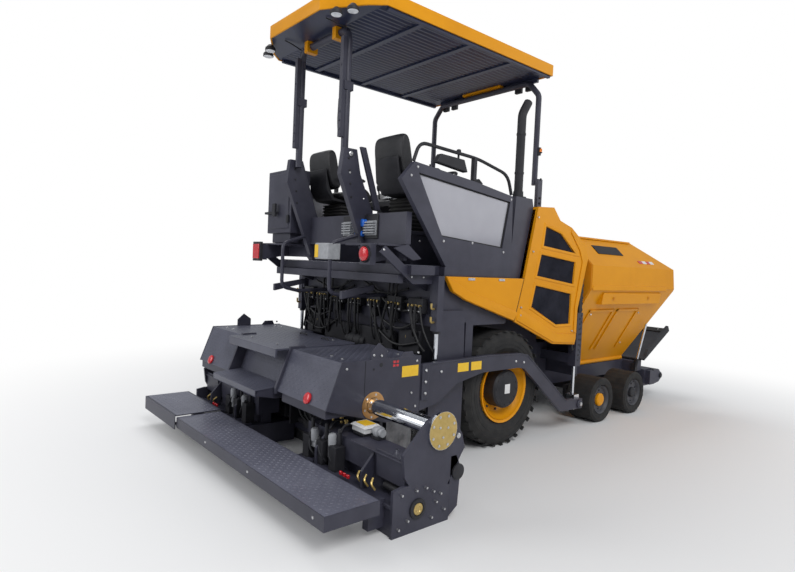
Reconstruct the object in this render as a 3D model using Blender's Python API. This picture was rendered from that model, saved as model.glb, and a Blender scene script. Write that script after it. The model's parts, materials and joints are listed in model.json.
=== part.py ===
"""Wheeled asphalt paver: +X forward, +Y left, +Z up, metres, ground at z = 0.

Stations along X are measured from the rear axle. The empty "machine" moves the
whole machine so that the middle of its box is over the world origin.
"""

import math

import bmesh
import bpy
from mathutils import Matrix, Vector

# Fits
SEAT = 0.0003  # gap between fixed neighbours
RUN = 0.0005  # gap round a pin or a rod
CLEAR = 0.010  # gap beside moving pieces
SHEET = 0.030  # hood and screed shell walls

# Overall sizes
HALF_W = 1.25  # basic half width of the machine
DECK_Z = 1.80  # operator's floor
DECK_T = 0.080
HOOD_HALF = 1.20

# Rear wheels
REAR_R, REAR_W, REAR_OUT = 0.59, 0.40, 1.17
RIM_R, HUB_R, AXLE_R = 0.335, 0.19, 0.10

# Front wheels
FRONT_R, FRONT_W, FRONT_OUT = 0.27, 0.34, 1.25
FRONT_X = (("rear", 1.78), ("front", 2.58))
KINGPIN_Y, KINGPIN_R, KNUCKLE_R, KNUCKLE_HALF = 0.96, 0.018, 0.040, 0.070
BEAM_Y = (0.735, 0.795)  # bogie beams

# Chassis
RAIL_Y = (0.66, 0.72)
RAIL_REAR, RAIL_FRONT = -0.95, 3.30
RAIL_TOP_FRONT, RAIL_LOW = 0.58, 0.40
FLOOR_T = 0.08
WALL_X = (-0.99, -0.93)
FENDER_Y = (1.085, 1.125)
PLATE_Y = (1.130, 1.155)  # auger end plates

# Hood side outline (x, z), from its rear lower corner round the top
HOOD = (
    (0.06, 1.276), (0.19, 1.72), (0.36, 2.47), (0.64, 2.49), (0.77, 2.36), (1.00, 2.30),
    (1.32, 2.11), (1.37, 1.98), (1.20, 1.37), (1.20, 1.05), (1.175, 0.98), (0.75, 1.01),
)
VENTS = (
    ((0.51, 2.28), (0.80, 2.22), (1.08, 2.02), (0.48, 2.07)),
    ((0.45, 1.98), (1.10, 1.92), (1.08, 1.67), (0.39, 1.75)),
    ((0.38, 1.65), (1.05, 1.56), (1.05, 1.22), (0.79, 1.22), (0.32, 1.42)),
)
VENT_DEEP = 0.015
LID = ((-0.956, 1.715), (0.175, 1.715), (0.045, 1.285), (-0.685, 1.50), (-0.86, 1.58))
LID_Y = (1.165, 1.20)

# Operator's place
COWL = ((0.003, 1.72), (0.06, 2.55), (0.33, 2.55), (0.352, 2.47), (0.18, 1.72))
SIDEWALL = ((-1.362, 2.682), (-1.508, 2.522), (-0.937, 1.8), (0.0, 1.8), (-0.035, 2.533), (-0.598, 2.609))
WINDOW = ((-1.314, 2.595), (-0.067, 2.475), (-0.158, 2.008), (-1.001, 2.071))
SIDEWALL_Y = (1.12, 1.17)
SEAT_Y = 0.60

# Canopy
ROOF_X, ROOF_HALF, ROOF_Z = (-1.68, 0.83), 0.95, (4.00, 4.14)
HOOP_X, HOOP_Y, HOOP_R = -1.57, 0.41, 0.035
FOLD_Z, HOOP_TOP = 2.79, 3.94
POST_X, POST_Y, POST_R = 0.75, 0.84, 0.032

# Hopper
WING_Y, WING_Z, WING_R = 0.70, 0.6106, 0.030
WING_X = (1.40, 3.20)
WING_T = 0.020
APRON_X, APRON_Z, APRON_HALF = 3.36, 0.60, 0.98
APRON_LONG, APRON_SLOPE, APRON_T = 0.84, math.radians(28), 0.012
ROLLER_X, ROLLER_Z, ROLLER_R = 3.88, 0.33, 0.09

# Tow arms
SCREED_FRONT = -1.26 + SEAT
TOW_X, TOW_Z = 1.27, 0.29
ARM_Y = (1.21, 1.25)
ARM = (
    (SCREED_FRONT, 0.95), (-0.40, 0.97), (0.12, 0.955), (0.24, 0.93), (0.98, 0.37), (1.33, 0.346),
    (1.33, 0.234), (0.90, 0.25), (0.20, 0.79), (0.10, 0.81), (-0.45, 0.81), (-0.80, 0.74),
    (-1.02, 0.60), (SCREED_FRONT, 0.55),
)
LIFT_X, LIFT_Y, LIFT_R, LIFT_HALF = -1.01, 1.162, 0.020, 0.038

# Screed
SCREED_X = (-2.215, -1.26)
SCREED_SIDE = ((-2.215, 0.675), (-2.08, 1.03), (-1.26, 1.03), (-1.26, 0.53))
SHOE_MAIN_X = (-1.62, -1.28)
TUBE_X, TUBE_Z, TUBE_R = -1.766, 0.662, 0.065
SHOE_X = (-2.17, -1.66)
OUT_R, OUT_L = 0.745, 0.12  # how far each extension stands out
TUBE_IN = 0.015  # inner tube end from the middle, when drawn in
EXT_LENGTH = 1.24
PLATE_T = 0.025
DISC_R, DISC_T = 0.135, 0.020
BOARD_X, BOARD_Z = (-2.71, -2.285), (0.19, 0.285)
BOARD_END_R, BOARD_MEET, BOARD_END_L = -2.02, 0.50, 1.40

# Augers
AUGER_X, AUGER_Z, AUGER_R, AUGER_SHAFT = -0.84, 0.36, 0.20, 0.045
AUGER_Y = (0.10, 1.12)
AUGER_PITCH = 0.34

SIDES = (("r", -1.0), ("l", 1.0))
LOW_X = BOARD_X[0] - 0.015
HIGH_X = APRON_X + APRON_LONG * math.cos(APRON_SLOPE) + APRON_T * math.sin(APRON_SLOPE)
PLATE_R = -(HALF_W + CLEAR + OUT_R)  # inner face of the right end plates
PLATE_L = HALF_W + CLEAR + OUT_L
LOW_Y = PLATE_R - PLATE_T - DISC_T
HIGH_Y = PLATE_L + PLATE_T + DISC_T

for old in list(bpy.data.objects):
    bpy.data.objects.remove(old, do_unlink=True)


# ---------------------------------------------------------------- materials
def paint(name, colour, roughness, metallic=0.0, alpha=1.0):
    material = bpy.data.materials.new(name)
    material.use_nodes = True
    shader = material.node_tree.nodes["Principled BSDF"]
    shader.inputs["Base Color"].default_value = (*colour, 1.0)
    shader.inputs["Roughness"].default_value = roughness
    shader.inputs["Metallic"].default_value = metallic
    shader.inputs["Alpha"].default_value = alpha
    material.diffuse_color = (*colour, alpha)
    return material


ORANGE = paint("orange_paint", (0.86, 0.36, 0.02), 0.35)
DARK = paint("dark_paint", (0.055, 0.058, 0.075), 0.45)
BLACK = paint("black_steel", (0.02, 0.02, 0.024), 0.50)
RUBBER = paint("rubber", (0.02, 0.02, 0.022), 0.85)
CHROME = paint("chrome", (0.75, 0.76, 0.78), 0.12, 1.0)
GLASS = paint("glass", (0.55, 0.56, 0.60), 0.10, 0.0, 0.6)
SEATING = paint("seat_cover", (0.018, 0.018, 0.020), 0.60)
STEEL = paint("worn_steel", (0.30, 0.30, 0.31), 0.40, 1.0)


# ---------------------------------------------------------------- shapes
def shape(points, faces):
    return [Vector(p) for p in points], [tuple(f) for f in faces]


def prism(outline, axis, low, high):
    """Outline in the plane across the axis, in the order X, Y, Z, drawn out from low to high."""
    low, high = min(low, high), max(low, high)
    place = {
        "X": lambda a, b, t: (t, a, b),
        "Y": lambda a, b, t: (a, t, b),
        "Z": lambda a, b, t: (a, b, t),
    }[axis]
    n = len(outline)
    points = [place(a, b, low) for a, b in outline] + [place(a, b, high) for a, b in outline]
    sides = [(i, (i + 1) % n, n + (i + 1) % n, n + i) for i in range(n)]
    return shape(points, [range(n), range(n, 2 * n)] + sides)


def box(x0, x1, y0, y1, z0, z1):
    return prism(((x0, z0), (x1, z0), (x1, z1), (x0, z1)), "Y", y0, y1)


def lathe(profile, axis, centre, steps, sign=1.0, phase=0.0):
    """Profile of (station, radius) turned round the axis through the centre's two numbers."""
    place = {
        "X": lambda a, c, s: (a, centre[0] + c, centre[1] + s),
        "Y": lambda a, c, s: (centre[0] + s, a, centre[1] - c),
        "Z": lambda a, c, s: (centre[0] + c, centre[1] + s, a),
    }[axis]
    points, rings = [], []
    for station, radius in profile:
        rings.append((len(points), radius > 1e-9))
        turns = range(steps) if radius > 1e-9 else (0,)
        for k in turns:
            angle = 2 * math.pi * k / steps + phase
            points.append(place(sign * station, radius * math.cos(angle), radius * math.sin(angle)))
    faces = []
    open_end = [radius > 1e-9 for _, radius in profile]
    pairs = list(zip(rings, rings[1:] + rings[:1]))
    if not (open_end[0] and open_end[-1]):
        pairs = pairs[:-1]
    for (first, ring_a), (second, ring_b) in pairs:
        for k in range(steps):
            n = (k + 1) % steps
            a, b = (first + k, first + n) if ring_a else (first, first)
            c, d = (second + n, second + k) if ring_b else (second, second)
            faces.append(tuple(dict.fromkeys((a, b, c, d))))
    return shape(points, faces)


def rod(axis, centre, radius, low, high, steps=12):
    return lathe(((low, 0), (low, radius), (high, radius), (high, 0)), axis, centre, steps)


def hole(axis, centre, radius, low, high, steps=12, gap=RUN):
    """Cutter for a hole round a rod of this radius, turned half a facet from it."""
    size = (radius + gap) / math.cos(math.pi / steps)
    return lathe(((low, 0), (low, size), (high, size), (high, 0)), axis, centre, steps, 1.0, math.pi / steps)


def bore(radius, steps=12, gap=RUN):
    """Radius of a faceted hole that a faceted rod turns in."""
    return (radius + gap) / math.cos(math.pi / steps)


def pipe(path, radius, steps=8):
    path = [Vector(p) for p in path]
    lines = [(b - a).normalized() for a, b in zip(path, path[1:])]
    across = lines[0].orthogonal().normalized()
    points, faces = [], []
    for i, point in enumerate(path):
        before, after = lines[max(i - 1, 0)], lines[min(i, len(lines) - 1)]
        if i and i < len(path) - 1:
            across = (across - before * across.dot(before)).normalized()
        normal = (before + after).normalized()
        other = before.cross(across).normalized()
        for k in range(steps):
            angle = 2 * math.pi * k / steps
            offset = (across * math.cos(angle) + other * math.sin(angle)) * radius
            offset -= before * (offset.dot(normal) / before.dot(normal))
            points.append(point + offset)
        across = (across - after * across.dot(after)).normalized()
    for i in range(len(path) - 1):
        for k in range(steps):
            n = (k + 1) % steps
            faces.append((i * steps + k, i * steps + n, (i + 1) * steps + n, (i + 1) * steps + k))
    last = (len(path) - 1) * steps
    return shape(points, faces + [range(steps), range(last, last + steps)])


def arc_path(path, radius, steps=3):
    """The path with each inner corner rounded."""
    path = [Vector(p) for p in path]
    out = [path[0]]
    for before, corner, after in zip(path, path[1:], path[2:]):
        back, on = (before - corner).normalized(), (after - corner).normalized()
        half = back.angle(on) / 2
        reach = min(radius / math.tan(half), (before - corner).length * 0.45, (after - corner).length * 0.45)
        start, end = corner + back * reach, corner + on * reach
        for k in range(steps + 1):
            t = k / steps
            out.append(start.lerp(corner, t).lerp(corner.lerp(end, t), t))
    return out + [path[-1]]


def inset(outline, by):
    """The outline moved in by one distance on every edge."""
    area = sum(a[0] * b[1] - b[0] * a[1] for a, b in zip(outline, outline[1:] + outline[:1]))
    turn = 1 if area > 0 else -1
    out = []
    n = len(outline)
    for i in range(n):
        p, q, r = (Vector(outline[(i + k) % n]) for k in (-1, 0, 1))
        u, v = (q - p).normalized(), (r - q).normalized()
        nu, nv = Vector((-u.y, u.x)) * turn, Vector((-v.y, v.x)) * turn
        mean = (nu + nv).normalized()
        out.append(tuple(q + mean * (by / max(mean.dot(nu), 0.3))))
    return tuple(out)


def auger_form(side):
    """Shaft, end journals and one screw blade, as rings of eleven points drawn along the side's Y."""
    wide = 2 * math.pi * 0.016 / AUGER_PITCH
    angles = [-wide / 2, -wide / 4, wide / 4, wide / 2] + [math.pi * k / 4 for k in range(1, 8)]
    low, high = AUGER_Y[0] + 0.010, AUGER_Y[1] - 0.010
    journal, hub = 0.03, AUGER_SHAFT
    steps = int(round((high - low) / AUGER_PITCH * 20))
    turns = [low + 0.004 + (high - low - 0.008) * i / steps for i in range(steps + 1)]
    rings = [(0.003, journal, journal), (0.09, journal, journal), (0.091, hub, hub), (low, hub, hub)]
    rings += [(station, hub, AUGER_R) for station in turns]
    rings += [(high, hub, hub), (1.12, hub, hub), (1.121, journal, journal), (1.154, journal, journal)]
    points, faces = [], []
    for station, radius, blade in rings:
        twist = side * 2 * math.pi * (min(max(station, turns[0]), turns[-1]) - turns[0]) / AUGER_PITCH
        for k, angle in enumerate(angles):
            size = blade if k in (1, 2) else radius
            points.append((
                AUGER_X + size * math.sin(angle + twist), side * station, AUGER_Z + size * math.cos(angle + twist),
            ))
    n = len(angles)
    for i in range(len(rings) - 1):
        for k in range(n):
            m = (k + 1) % n
            a, b, c, d = n * i + k, n * i + m, n * i + n + m, n * i + n + k
            faces += [(a, b, c), (a, c, d)]
    return shape(points, faces + [range(n), range(n * (len(rings) - 1), n * len(rings))])


# ---------------------------------------------------------------- nodes
MACHINE = bpy.data.objects.new("machine", None)
bpy.context.scene.collection.objects.link(MACHINE)
MACHINE.location = (-(LOW_X + HIGH_X) / 2, -(LOW_Y + HIGH_Y) / 2, 0)


def mesh_of(name, form, pivot=(0, 0, 0)):
    points, faces = form
    mesh = bpy.data.meshes.new(name)
    mesh.from_pydata([p - Vector(pivot) for p in points], [], faces)
    work = bmesh.new()
    work.from_mesh(mesh)
    bmesh.ops.recalc_face_normals(work, faces=work.faces)
    if work.calc_volume(signed=True) < 0:
        bmesh.ops.reverse_faces(work, faces=work.faces)
    work.to_mesh(mesh)
    work.free()
    return mesh


def helper(name, form):
    obj = bpy.data.objects.new(name, mesh_of(name, form))
    bpy.context.scene.collection.objects.link(obj)
    obj.parent = MACHINE
    obj.hide_render = True
    obj.display_type = "WIRE"
    return obj


def node(name, material, forms, cuts=(), pivot=(0, 0, 0), carrier=None):
    """One named object: its forms joined, then its cuts taken out."""
    obj = bpy.data.objects.new(name, mesh_of(name, forms[0], pivot))
    bpy.context.scene.collection.objects.link(obj)
    obj.data.materials.append(material)
    obj.parent = MACHINE
    obj.location = pivot
    for kind, group in (("UNION", forms[1:]), ("DIFFERENCE", cuts)):
        for i, form in enumerate(group):
            step = obj.modifiers.new(f"{kind.lower()}_{i}", "BOOLEAN")
            step.operation = kind
            step.solver = "EXACT"
            step.object = helper(f"{name}_{kind.lower()}_{i}", form)
    return obj


def span(side, low, high):
    return min(side * low, side * high), max(side * low, side * high)


def side_box(side, x0, x1, y0, y1, z0, z1):
    return box(x0, x1, *span(side, y0, y1), z0, z1)


# ---------------------------------------------------------------- chassis
def build_chassis():
    top = DECK_Z - DECK_T - SEAT
    over, beside = AUGER_Z + AUGER_R + 2 * CLEAR, AUGER_X + AUGER_R + 2 * CLEAR
    forms = [box(beside + 2 * CLEAR, RAIL_FRONT, -RAIL_Y[1], RAIL_Y[1], RAIL_LOW + 0.02, RAIL_LOW + 0.02 + FLOOR_T)]
    rail = (
        (RAIL_REAR, over), (RAIL_REAR, top - 0.01), (0.98, top - 0.01), (1.12, 1.60), (1.12, 0.94), (1.34, 0.94),
        (1.34, RAIL_TOP_FRONT), (RAIL_FRONT, RAIL_TOP_FRONT), (RAIL_FRONT, RAIL_LOW), (0.30, RAIL_LOW),
        (beside, RAIL_LOW + 0.02), (beside, over),
    )
    for _, side in SIDES:
        forms.append(prism(rail, "Y", side * RAIL_Y[0], side * RAIL_Y[1]))
    # rear wall, deck bearer, tunnel roof and rear bulkhead
    wall = FENDER_Y[0] - SEAT
    forms.append(box(*WALL_X, -wall, wall, 1.25, top))
    forms.append(box(-0.96, 0.15, -LID_Y[0] + 0.0006, LID_Y[0] - 0.0006, top - 0.04, top))
    forms.append(box(-0.94, 1.12, -0.69, 0.69, 0.90, 0.94))
    forms.append(box(-0.95, -0.90, -0.69, 0.69, 0.92, top - 0.02))
    # hanger of the auger gearbox
    forms.append(box(AUGER_X - 0.08, AUGER_X + 0.08, -0.085, 0.085, AUGER_Z - 0.11, 0.93))
    # front cross member under the apron hinge
    forms.append(box(3.24, 3.44, -0.90, 0.90, RAIL_LOW + 0.03, APRON_Z - 0.0256))
    for _, side in SIDES:
        # tow point column and its bearer
        forms.append(side_box(side, TOW_X - 0.055, TOW_X + 0.055, 1.10, 1.20, 0.72, 1.34))
        forms.append(side_box(side, TOW_X - 0.05, TOW_X + 0.05, 0.70, 1.12, 0.75, 0.86))
        # hood bearer
        forms.append(side_box(side, 1.00, 1.10, 0.70, HOOD_HALF - SHEET - SEAT, 1.05, 1.10))
        # gusset under the rear of the deck
        gusset = ((-0.96, 1.56), (-0.96, top - 0.001), (-1.34, top - 0.001), (-1.34, top - 0.03))
        forms.append(prism(gusset, "Y", side * 0.97, side * 1.0))
    cuts = [hole("Y", (0, REAR_R), AXLE_R + 0.02, -0.8, 0.8, 24, SEAT), hole("Y", (AUGER_X, AUGER_Z), 0.03, -0.2, 0.2)]
    cuts += [hole("Z", (TOW_X, side * 1.15), LIFT_R, 0.60, 1.30) for _, side in SIDES]
    node("main_frame", DARK, forms, cuts)
    for tag, side in SIDES:
        under = top - 0.04 - SEAT
        fender = ((-0.58, 0.95), (-0.58, under), (0.02, under), (0.02, 1.30), (0.0, 1.25), (-0.48, 1.25), (-0.48, 0.95))
        plate = (
            (-0.975, 1.40), (-0.64, 1.40), (-0.62, 0.80), (-0.62, 0.24), (-0.70, 0.16), (-0.98, 0.16), (-1.06, 0.24),
            (-1.06, 0.60), (-0.975, 0.72),
        )
        low, high = LIFT_Y - LIFT_HALF, LIFT_Y + LIFT_HALF
        node(f"side_frame_{tag}", DARK, [
            prism(fender, "Y", *span(side, *FENDER_Y)),
            side_box(side, -0.97, -0.56, *FENDER_Y, 1.28, under),
            prism(plate, "Y", *span(side, *PLATE_Y)),
            side_box(side, -0.97, -0.66, 1.10, 1.14, 1.29, 1.39),
            # lift cylinder barrel and its bracket
            side_box(side, LIFT_X - LIFT_HALF, LIFT_X + LIFT_HALF, low, high, 1.22, top - 0.004),
            side_box(side, LIFT_X - 0.03, -0.94, FENDER_Y[0] + 0.005, LIFT_Y, 1.48, 1.66),
        ], [
            hole("Z", (LIFT_X, side * LIFT_Y), LIFT_R, 1.10, top - 0.01),
            hole("Y", (AUGER_X, AUGER_Z), 0.03, *span(side, 1.11, 1.20)),
        ])
    node("engine_block", BLACK, [box(0.30, 1.06, -0.42, 0.42, 0.94 + SEAT, 1.75)])
    node("hopper_back", ORANGE, [box(1.375, 1.393, -1.12, 1.12, RAIL_TOP_FRONT + SEAT, 1.95)], [
        box(1.3, 1.5, -0.60, 0.60, 0.4, 0.90)])
    stub = (
        (0.952, 0), (0.952, AXLE_R), (0.765, AXLE_R), (0.755, AXLE_R + 0.02), (0.64, AXLE_R + 0.02), (0.64, 0),
    )
    for tag, side in SIDES:
        node(f"axle_{tag}", BLACK, [lathe(stub, "Y", (0, REAR_R), 24, side)])


def build_rear_wheels():
    out, low = REAR_OUT, REAR_OUT - REAR_W
    shaft = bore(AXLE_R, 32)
    rim = (
        (out + 0.02, 0), (out + 0.02, HUB_R - 0.02), (out - 0.01, HUB_R), (low + 0.19, HUB_R),
        (low + 0.19, RIM_R - 0.04), (out - 0.015, RIM_R - 0.01), (out - 0.005, RIM_R + 0.015),
        (out - 0.03, RIM_R + 0.013), (out - 0.035, RIM_R), (low + 0.035, RIM_R), (low + 0.03, RIM_R + 0.013),
        (low + 0.005, RIM_R + 0.013), (low + 0.005, RIM_R - 0.015), (low + 0.13, RIM_R - 0.04),
        (low + 0.13, HUB_R - 0.03), (low + 0.03, HUB_R - 0.03), (low + 0.03, shaft), (0.953, shaft), (0.953, 0),
    )
    bead = RIM_R + 0.0008
    tyre = (
        (out - 0.037, bead), (out, RIM_R + 0.085), (out, REAR_R - 0.07), (out - 0.04, REAR_R - 0.008),
        (out - 0.12, REAR_R), (low + 0.12, REAR_R), (low + 0.04, REAR_R - 0.008), (low, REAR_R - 0.07),
        (low, RIM_R + 0.085), (low + 0.037, bead),
    )
    for tag, side in SIDES:
        pivot = (0, side * (out - REAR_W / 2), REAR_R)
        node(f"rear_rim_{tag}", ORANGE, [lathe(rim, "Y", (0, REAR_R), 32, side)], pivot=pivot)
        node(f"rear_tyre_{tag}", RUBBER, [lathe(tyre, "Y", (0, REAR_R), 32, side)], pivot=pivot)


def build_front_wheels():
    z = FRONT_R
    ear = (z + KNUCKLE_HALF + RUN, z + KNUCKLE_HALF + 0.022)
    forms = [rod("Y", (2.18, z), 0.055, -BEAM_Y[1] + 0.01, BEAM_Y[1] - 0.01)]
    forms.append(box(2.10, 2.26, -0.70, 0.70, z, RAIL_LOW - SEAT))
    cuts = []
    for _, side in SIDES:
        forms.append(side_box(side, FRONT_X[0][1] - 0.06, FRONT_X[1][1] + 0.06, *BEAM_Y, z - 0.075, z + 0.10))
        for _, x in FRONT_X:
            for low, high in (ear, (2 * z - ear[1], 2 * z - ear[0])):
                forms.append(side_box(side, x - 0.045, x + 0.045, BEAM_Y[0] + 0.01, KINGPIN_Y + 0.035, low, high))
            cuts.append(hole("Z", (x, side * KINGPIN_Y), KINGPIN_R, z - 0.2, z + 0.2))
    node("front_bogie", BLACK, forms, cuts)
    low, out = FRONT_OUT - FRONT_W, FRONT_OUT
    stub_r = bore(0.032, 24)
    wheel = (
        (out - 0.05, 0), (out - 0.05, 0.065), (out - 0.09, 0.08), (out - 0.09, 0.155), (out - 0.02, 0.175),
        (out - 0.004, 0.19), (out, FRONT_R - 0.025), (out - 0.015, FRONT_R), (low + 0.015, FRONT_R),
        (low, FRONT_R - 0.025), (low, 0.185), (low + 0.13, 0.165), (low + 0.13, stub_r), (out - 0.11, stub_r),
        (out - 0.11, 0),
    )
    for tag, side in SIDES:
        for place, x in FRONT_X:
            pivot = (x, side * KINGPIN_Y, z)
            node(f"knuckle_{place}_{tag}", BLACK, [
                rod("Z", pivot[:2], KNUCKLE_R, z - KNUCKLE_HALF, z + KNUCKLE_HALF),
                rod("Z", pivot[:2], KINGPIN_R, z - KNUCKLE_HALF - 0.02, z + KNUCKLE_HALF + 0.02),
                rod("Y", (x, z), 0.032, *span(side, KINGPIN_Y, out - 0.111)),
            ], pivot=pivot)
            node(f"front_wheel_{place}_{tag}", RUBBER, [lathe(wheel, "Y", (x, z), 24, side)],
                 pivot=(x, side * (out - FRONT_W / 2), z))


# ---------------------------------------------------------------- bodywork
def build_hood():
    inner = list(inset(HOOD, SHEET))
    # open below and behind
    inner[0], inner[1], inner[-1] = (-0.05, 0.9), (-0.05, 1.72), (0.75, 0.9)
    inner[2] = (HOOD[2][0] - 0.05, inner[2][1])
    inner[-2] = (inner[-2][0], 0.9)
    cuts = [prism(inner, "Y", -HOOD_HALF + SHEET, HOOD_HALF - SHEET)]
    for _, side in SIDES:
        for vent in VENTS:
            cuts.append(prism(vent, "Y", side * (HOOD_HALF - VENT_DEEP), side * (HOOD_HALF + 0.05)))
    node("hood", ORANGE, [prism(HOOD, "Y", -HOOD_HALF, HOOD_HALF)], cuts)
    hollow = list(inset(COWL, SHEET))
    hollow[0], hollow[-1] = (hollow[0][0], 1.65), (hollow[-1][0], 1.65)
    node("cowl", DARK, [prism(COWL, "Y", -1.14, 1.14)], [prism(hollow, "Y", -1.11, 1.11)])
    for tag, side in SIDES:
        node(f"side_lid_{tag}", ORANGE, [prism(LID, "Y", side * LID_Y[0], side * LID_Y[1])],
             pivot=(0, side * (LID_Y[1] - 0.01), LID[0][1]))
    node("muffler", BLACK, [pipe(arc_path((
        (0.20, -1.05, COWL[1][1] + SEAT), (0.20, -1.05, 3.42), (0.29, -1.05, 3.56)), 0.15), 0.045, 12)])


def build_platform():
    node("platform_deck", DARK, [box(-1.35, -0.003, -SIDEWALL_Y[1], SIDEWALL_Y[1], DECK_Z - DECK_T, DECK_Z)], [
        box(LIFT_X - 0.06, LIFT_X + 0.06, *span(side, LIFT_Y - 0.06, LIFT_Y + 0.06), 1.6, 1.9) for _, side in SIDES])
    for tag, side in SIDES:
        wall = [(x, z + SEAT if z == DECK_Z else z) for x, z in SIDEWALL]
        window = prism(WINDOW, "Y", side * 1.0, side * 1.3)
        node(f"sidewall_{tag}", DARK, [prism(wall, "Y", side * SIDEWALL_Y[0], side * SIDEWALL_Y[1])], [window])
        pane = inset(WINDOW, SEAT)
        node(f"glass_{tag}", GLASS, [prism(pane, "Y", side * 1.142, side * 1.150)])
        # seat: bellows, cushion and back in one
        y0, y1 = SEAT_Y - 0.23, SEAT_Y + 0.23
        back = ((-1.06, 2.50), (-1.16, 2.62), (-1.22, 3.00), (-1.17, 3.03), (-1.10, 3.00), (-1.03, 2.60))
        node(f"seat_{tag}", SEATING, [
            side_box(side, -1.02, -0.66, y0 + 0.04, y1 - 0.04, DECK_Z + SEAT, 2.46),
            side_box(side, -1.08, -0.58, y0, y1, 2.44, 2.60),
            prism(back, "Y", side * (y0 + 0.01), side * (y1 - 0.01)),
        ])
    node("console", BLACK, [
        box(-0.40, -0.10, -0.20, 0.20, DECK_Z + SEAT, 2.50),
        prism(((-0.52, 2.46), (-0.50, 2.52), (-0.08, 2.74), (-0.02, 2.70), (-0.10, 2.44)), "Y", -0.75, 0.75),
    ])
    arm = (
        (-1.64, 2.84), (-1.50, 2.84), (-1.45, 2.62), (-1.30, 2.30), (-1.13, 1.98), (-1.12, DECK_Z + SEAT),
        (-1.33, DECK_Z + SEAT), (-1.52, 2.25), (-1.67, 2.60),
    )
    forms = [box(-1.37, -1.31, -1.10, 0.56, 1.98, 2.26)]
    for _, side in SIDES:
        forms.append(prism(arm, "Y", side * 0.455, side * 0.515))
        forms.append(side_box(side, -1.36, -1.325, 0.47, 1.08, 1.84, 2.02))
        lamp = ((-1.66, 1.96), (-1.32, 1.96), (-1.32, 1.86), (-1.66, 1.80))
        forms.append(prism(lamp, "Y", side * 0.92, side * 0.95))
        forms.append(side_box(side, -1.70, -1.64, 0.90, 1.04, 1.79, 1.97))
        forms.append(pipe(arc_path((
            (-1.30, side * 0.485, 2.10), (-1.70, side * 0.44, 1.97), (-1.70, side * 0.44, 1.52),
            (-1.50, side * 0.44, 1.48), (WALL_X[0] - 0.0012, side * 0.44, 1.50)), 0.08), 0.019, 8))
    forms.append(box(-1.52, -1.32, 0.62, 1.10, 2.10, 2.76))
    forms.append(box(-1.36, -1.32, 0.50, 0.70, 2.05, 2.20))
    cuts = [hole("Y", (HOOP_X, FOLD_Z), 0.02, *span(side, 0.44, 0.53)) for _, side in SIDES]
    node("rear_frame", DARK, forms, cuts)


def build_canopy():
    hoop = arc_path((
        (HOOP_X, -HOOP_Y, FOLD_Z - 0.03), (HOOP_X, -HOOP_Y, HOOP_TOP), (HOOP_X, HOOP_Y, HOOP_TOP),
        (HOOP_X, HOOP_Y, FOLD_Z - 0.03)), 0.10)
    node("canopy_hoop", DARK, [pipe(hoop, HOOP_R, 24)] + [
        rod("Y", (HOOP_X, FOLD_Z), 0.02, *span(side, 0.42, 0.512)) for _, side in SIDES
    ], pivot=(HOOP_X, 0, FOLD_Z))
    rear, front = ROOF_X
    plan = (
        (rear, -ROOF_HALF + 0.12), (rear + 0.12, -ROOF_HALF), (front, -ROOF_HALF), (front, ROOF_HALF),
        (rear + 0.12, ROOF_HALF), (rear, ROOF_HALF - 0.12), (rear - 0.24, 0.45), (rear - 0.24, -0.45),
    )
    top = inset(plan, 0.10)
    points = [(*p, ROOF_Z[0]) for p in plan] + [(*p, ROOF_Z[1] - 0.03) for p in plan] + [(*p, ROOF_Z[1]) for p in top]
    n = len(plan)
    faces = [range(n), range(2 * n, 3 * n)]
    for ring in (0, n):
        faces += [(ring + i, ring + (i + 1) % n, ring + n + (i + 1) % n, ring + n + i) for i in range(n)]
    forms = [shape(points, faces)]
    for y in (-0.25, 0.25):
        forms.append(box(HOOP_X - 0.06, HOOP_X + 0.06, y - 0.03, y + 0.03, HOOP_TOP - 0.06, ROOF_Z[0] + 0.02))
    forms.append(box(POST_X - 0.05, POST_X + 0.05, -0.30, 0.30, HOOP_TOP + POST_R + RUN, ROOF_Z[0] + 0.02))
    cuts = [box(HOOP_X + 0.12, POST_X - 0.12, -ROOF_HALF + 0.04, ROOF_HALF - 0.04, ROOF_Z[0] - 0.1, ROOF_Z[1] - 0.035)]
    cuts += [hole("Y", (HOOP_X, HOOP_TOP), HOOP_R, -0.4, 0.4, 24)]
    node("canopy_roof", ORANGE, forms, cuts, pivot=(HOOP_X, 0, HOOP_TOP))
    posts = arc_path((
        (POST_X, -POST_Y, FOLD_Z - 0.02), (POST_X, -POST_Y, HOOP_TOP - 0.16), (POST_X, -POST_Y + 0.14, HOOP_TOP),
        (POST_X, POST_Y - 0.14, HOOP_TOP), (POST_X, POST_Y, HOOP_TOP - 0.16), (POST_X, POST_Y, FOLD_Z - 0.02)), 0.10)
    node("canopy_posts", DARK, [pipe(posts, POST_R, 12)] + [
        rod("Y", (POST_X, FOLD_Z), 0.018, *span(side, POST_Y, POST_Y + 0.082)) for _, side in SIDES
    ], pivot=(POST_X, 0, FOLD_Z))
    foot = ((0.70, 2.43 + SEAT), (0.77, 2.36 + SEAT), (0.80, 2.3522 + SEAT), (0.80, 2.52), (0.70, 2.52))
    forms = [prism(foot, "Y", -POST_Y - 0.09, POST_Y + 0.09)]
    cuts = []
    for _, side in SIDES:
        forms.append(side_box(side, 0.71, 0.79, POST_Y + POST_R + 0.01, POST_Y + POST_R + 0.05, 2.48, FOLD_Z + 0.04))
        cuts.append(hole("Y", (POST_X, FOLD_Z), 0.018, *span(side, POST_Y + 0.02, POST_Y + 0.12)))
    node("post_stand", DARK, forms, cuts)


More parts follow.
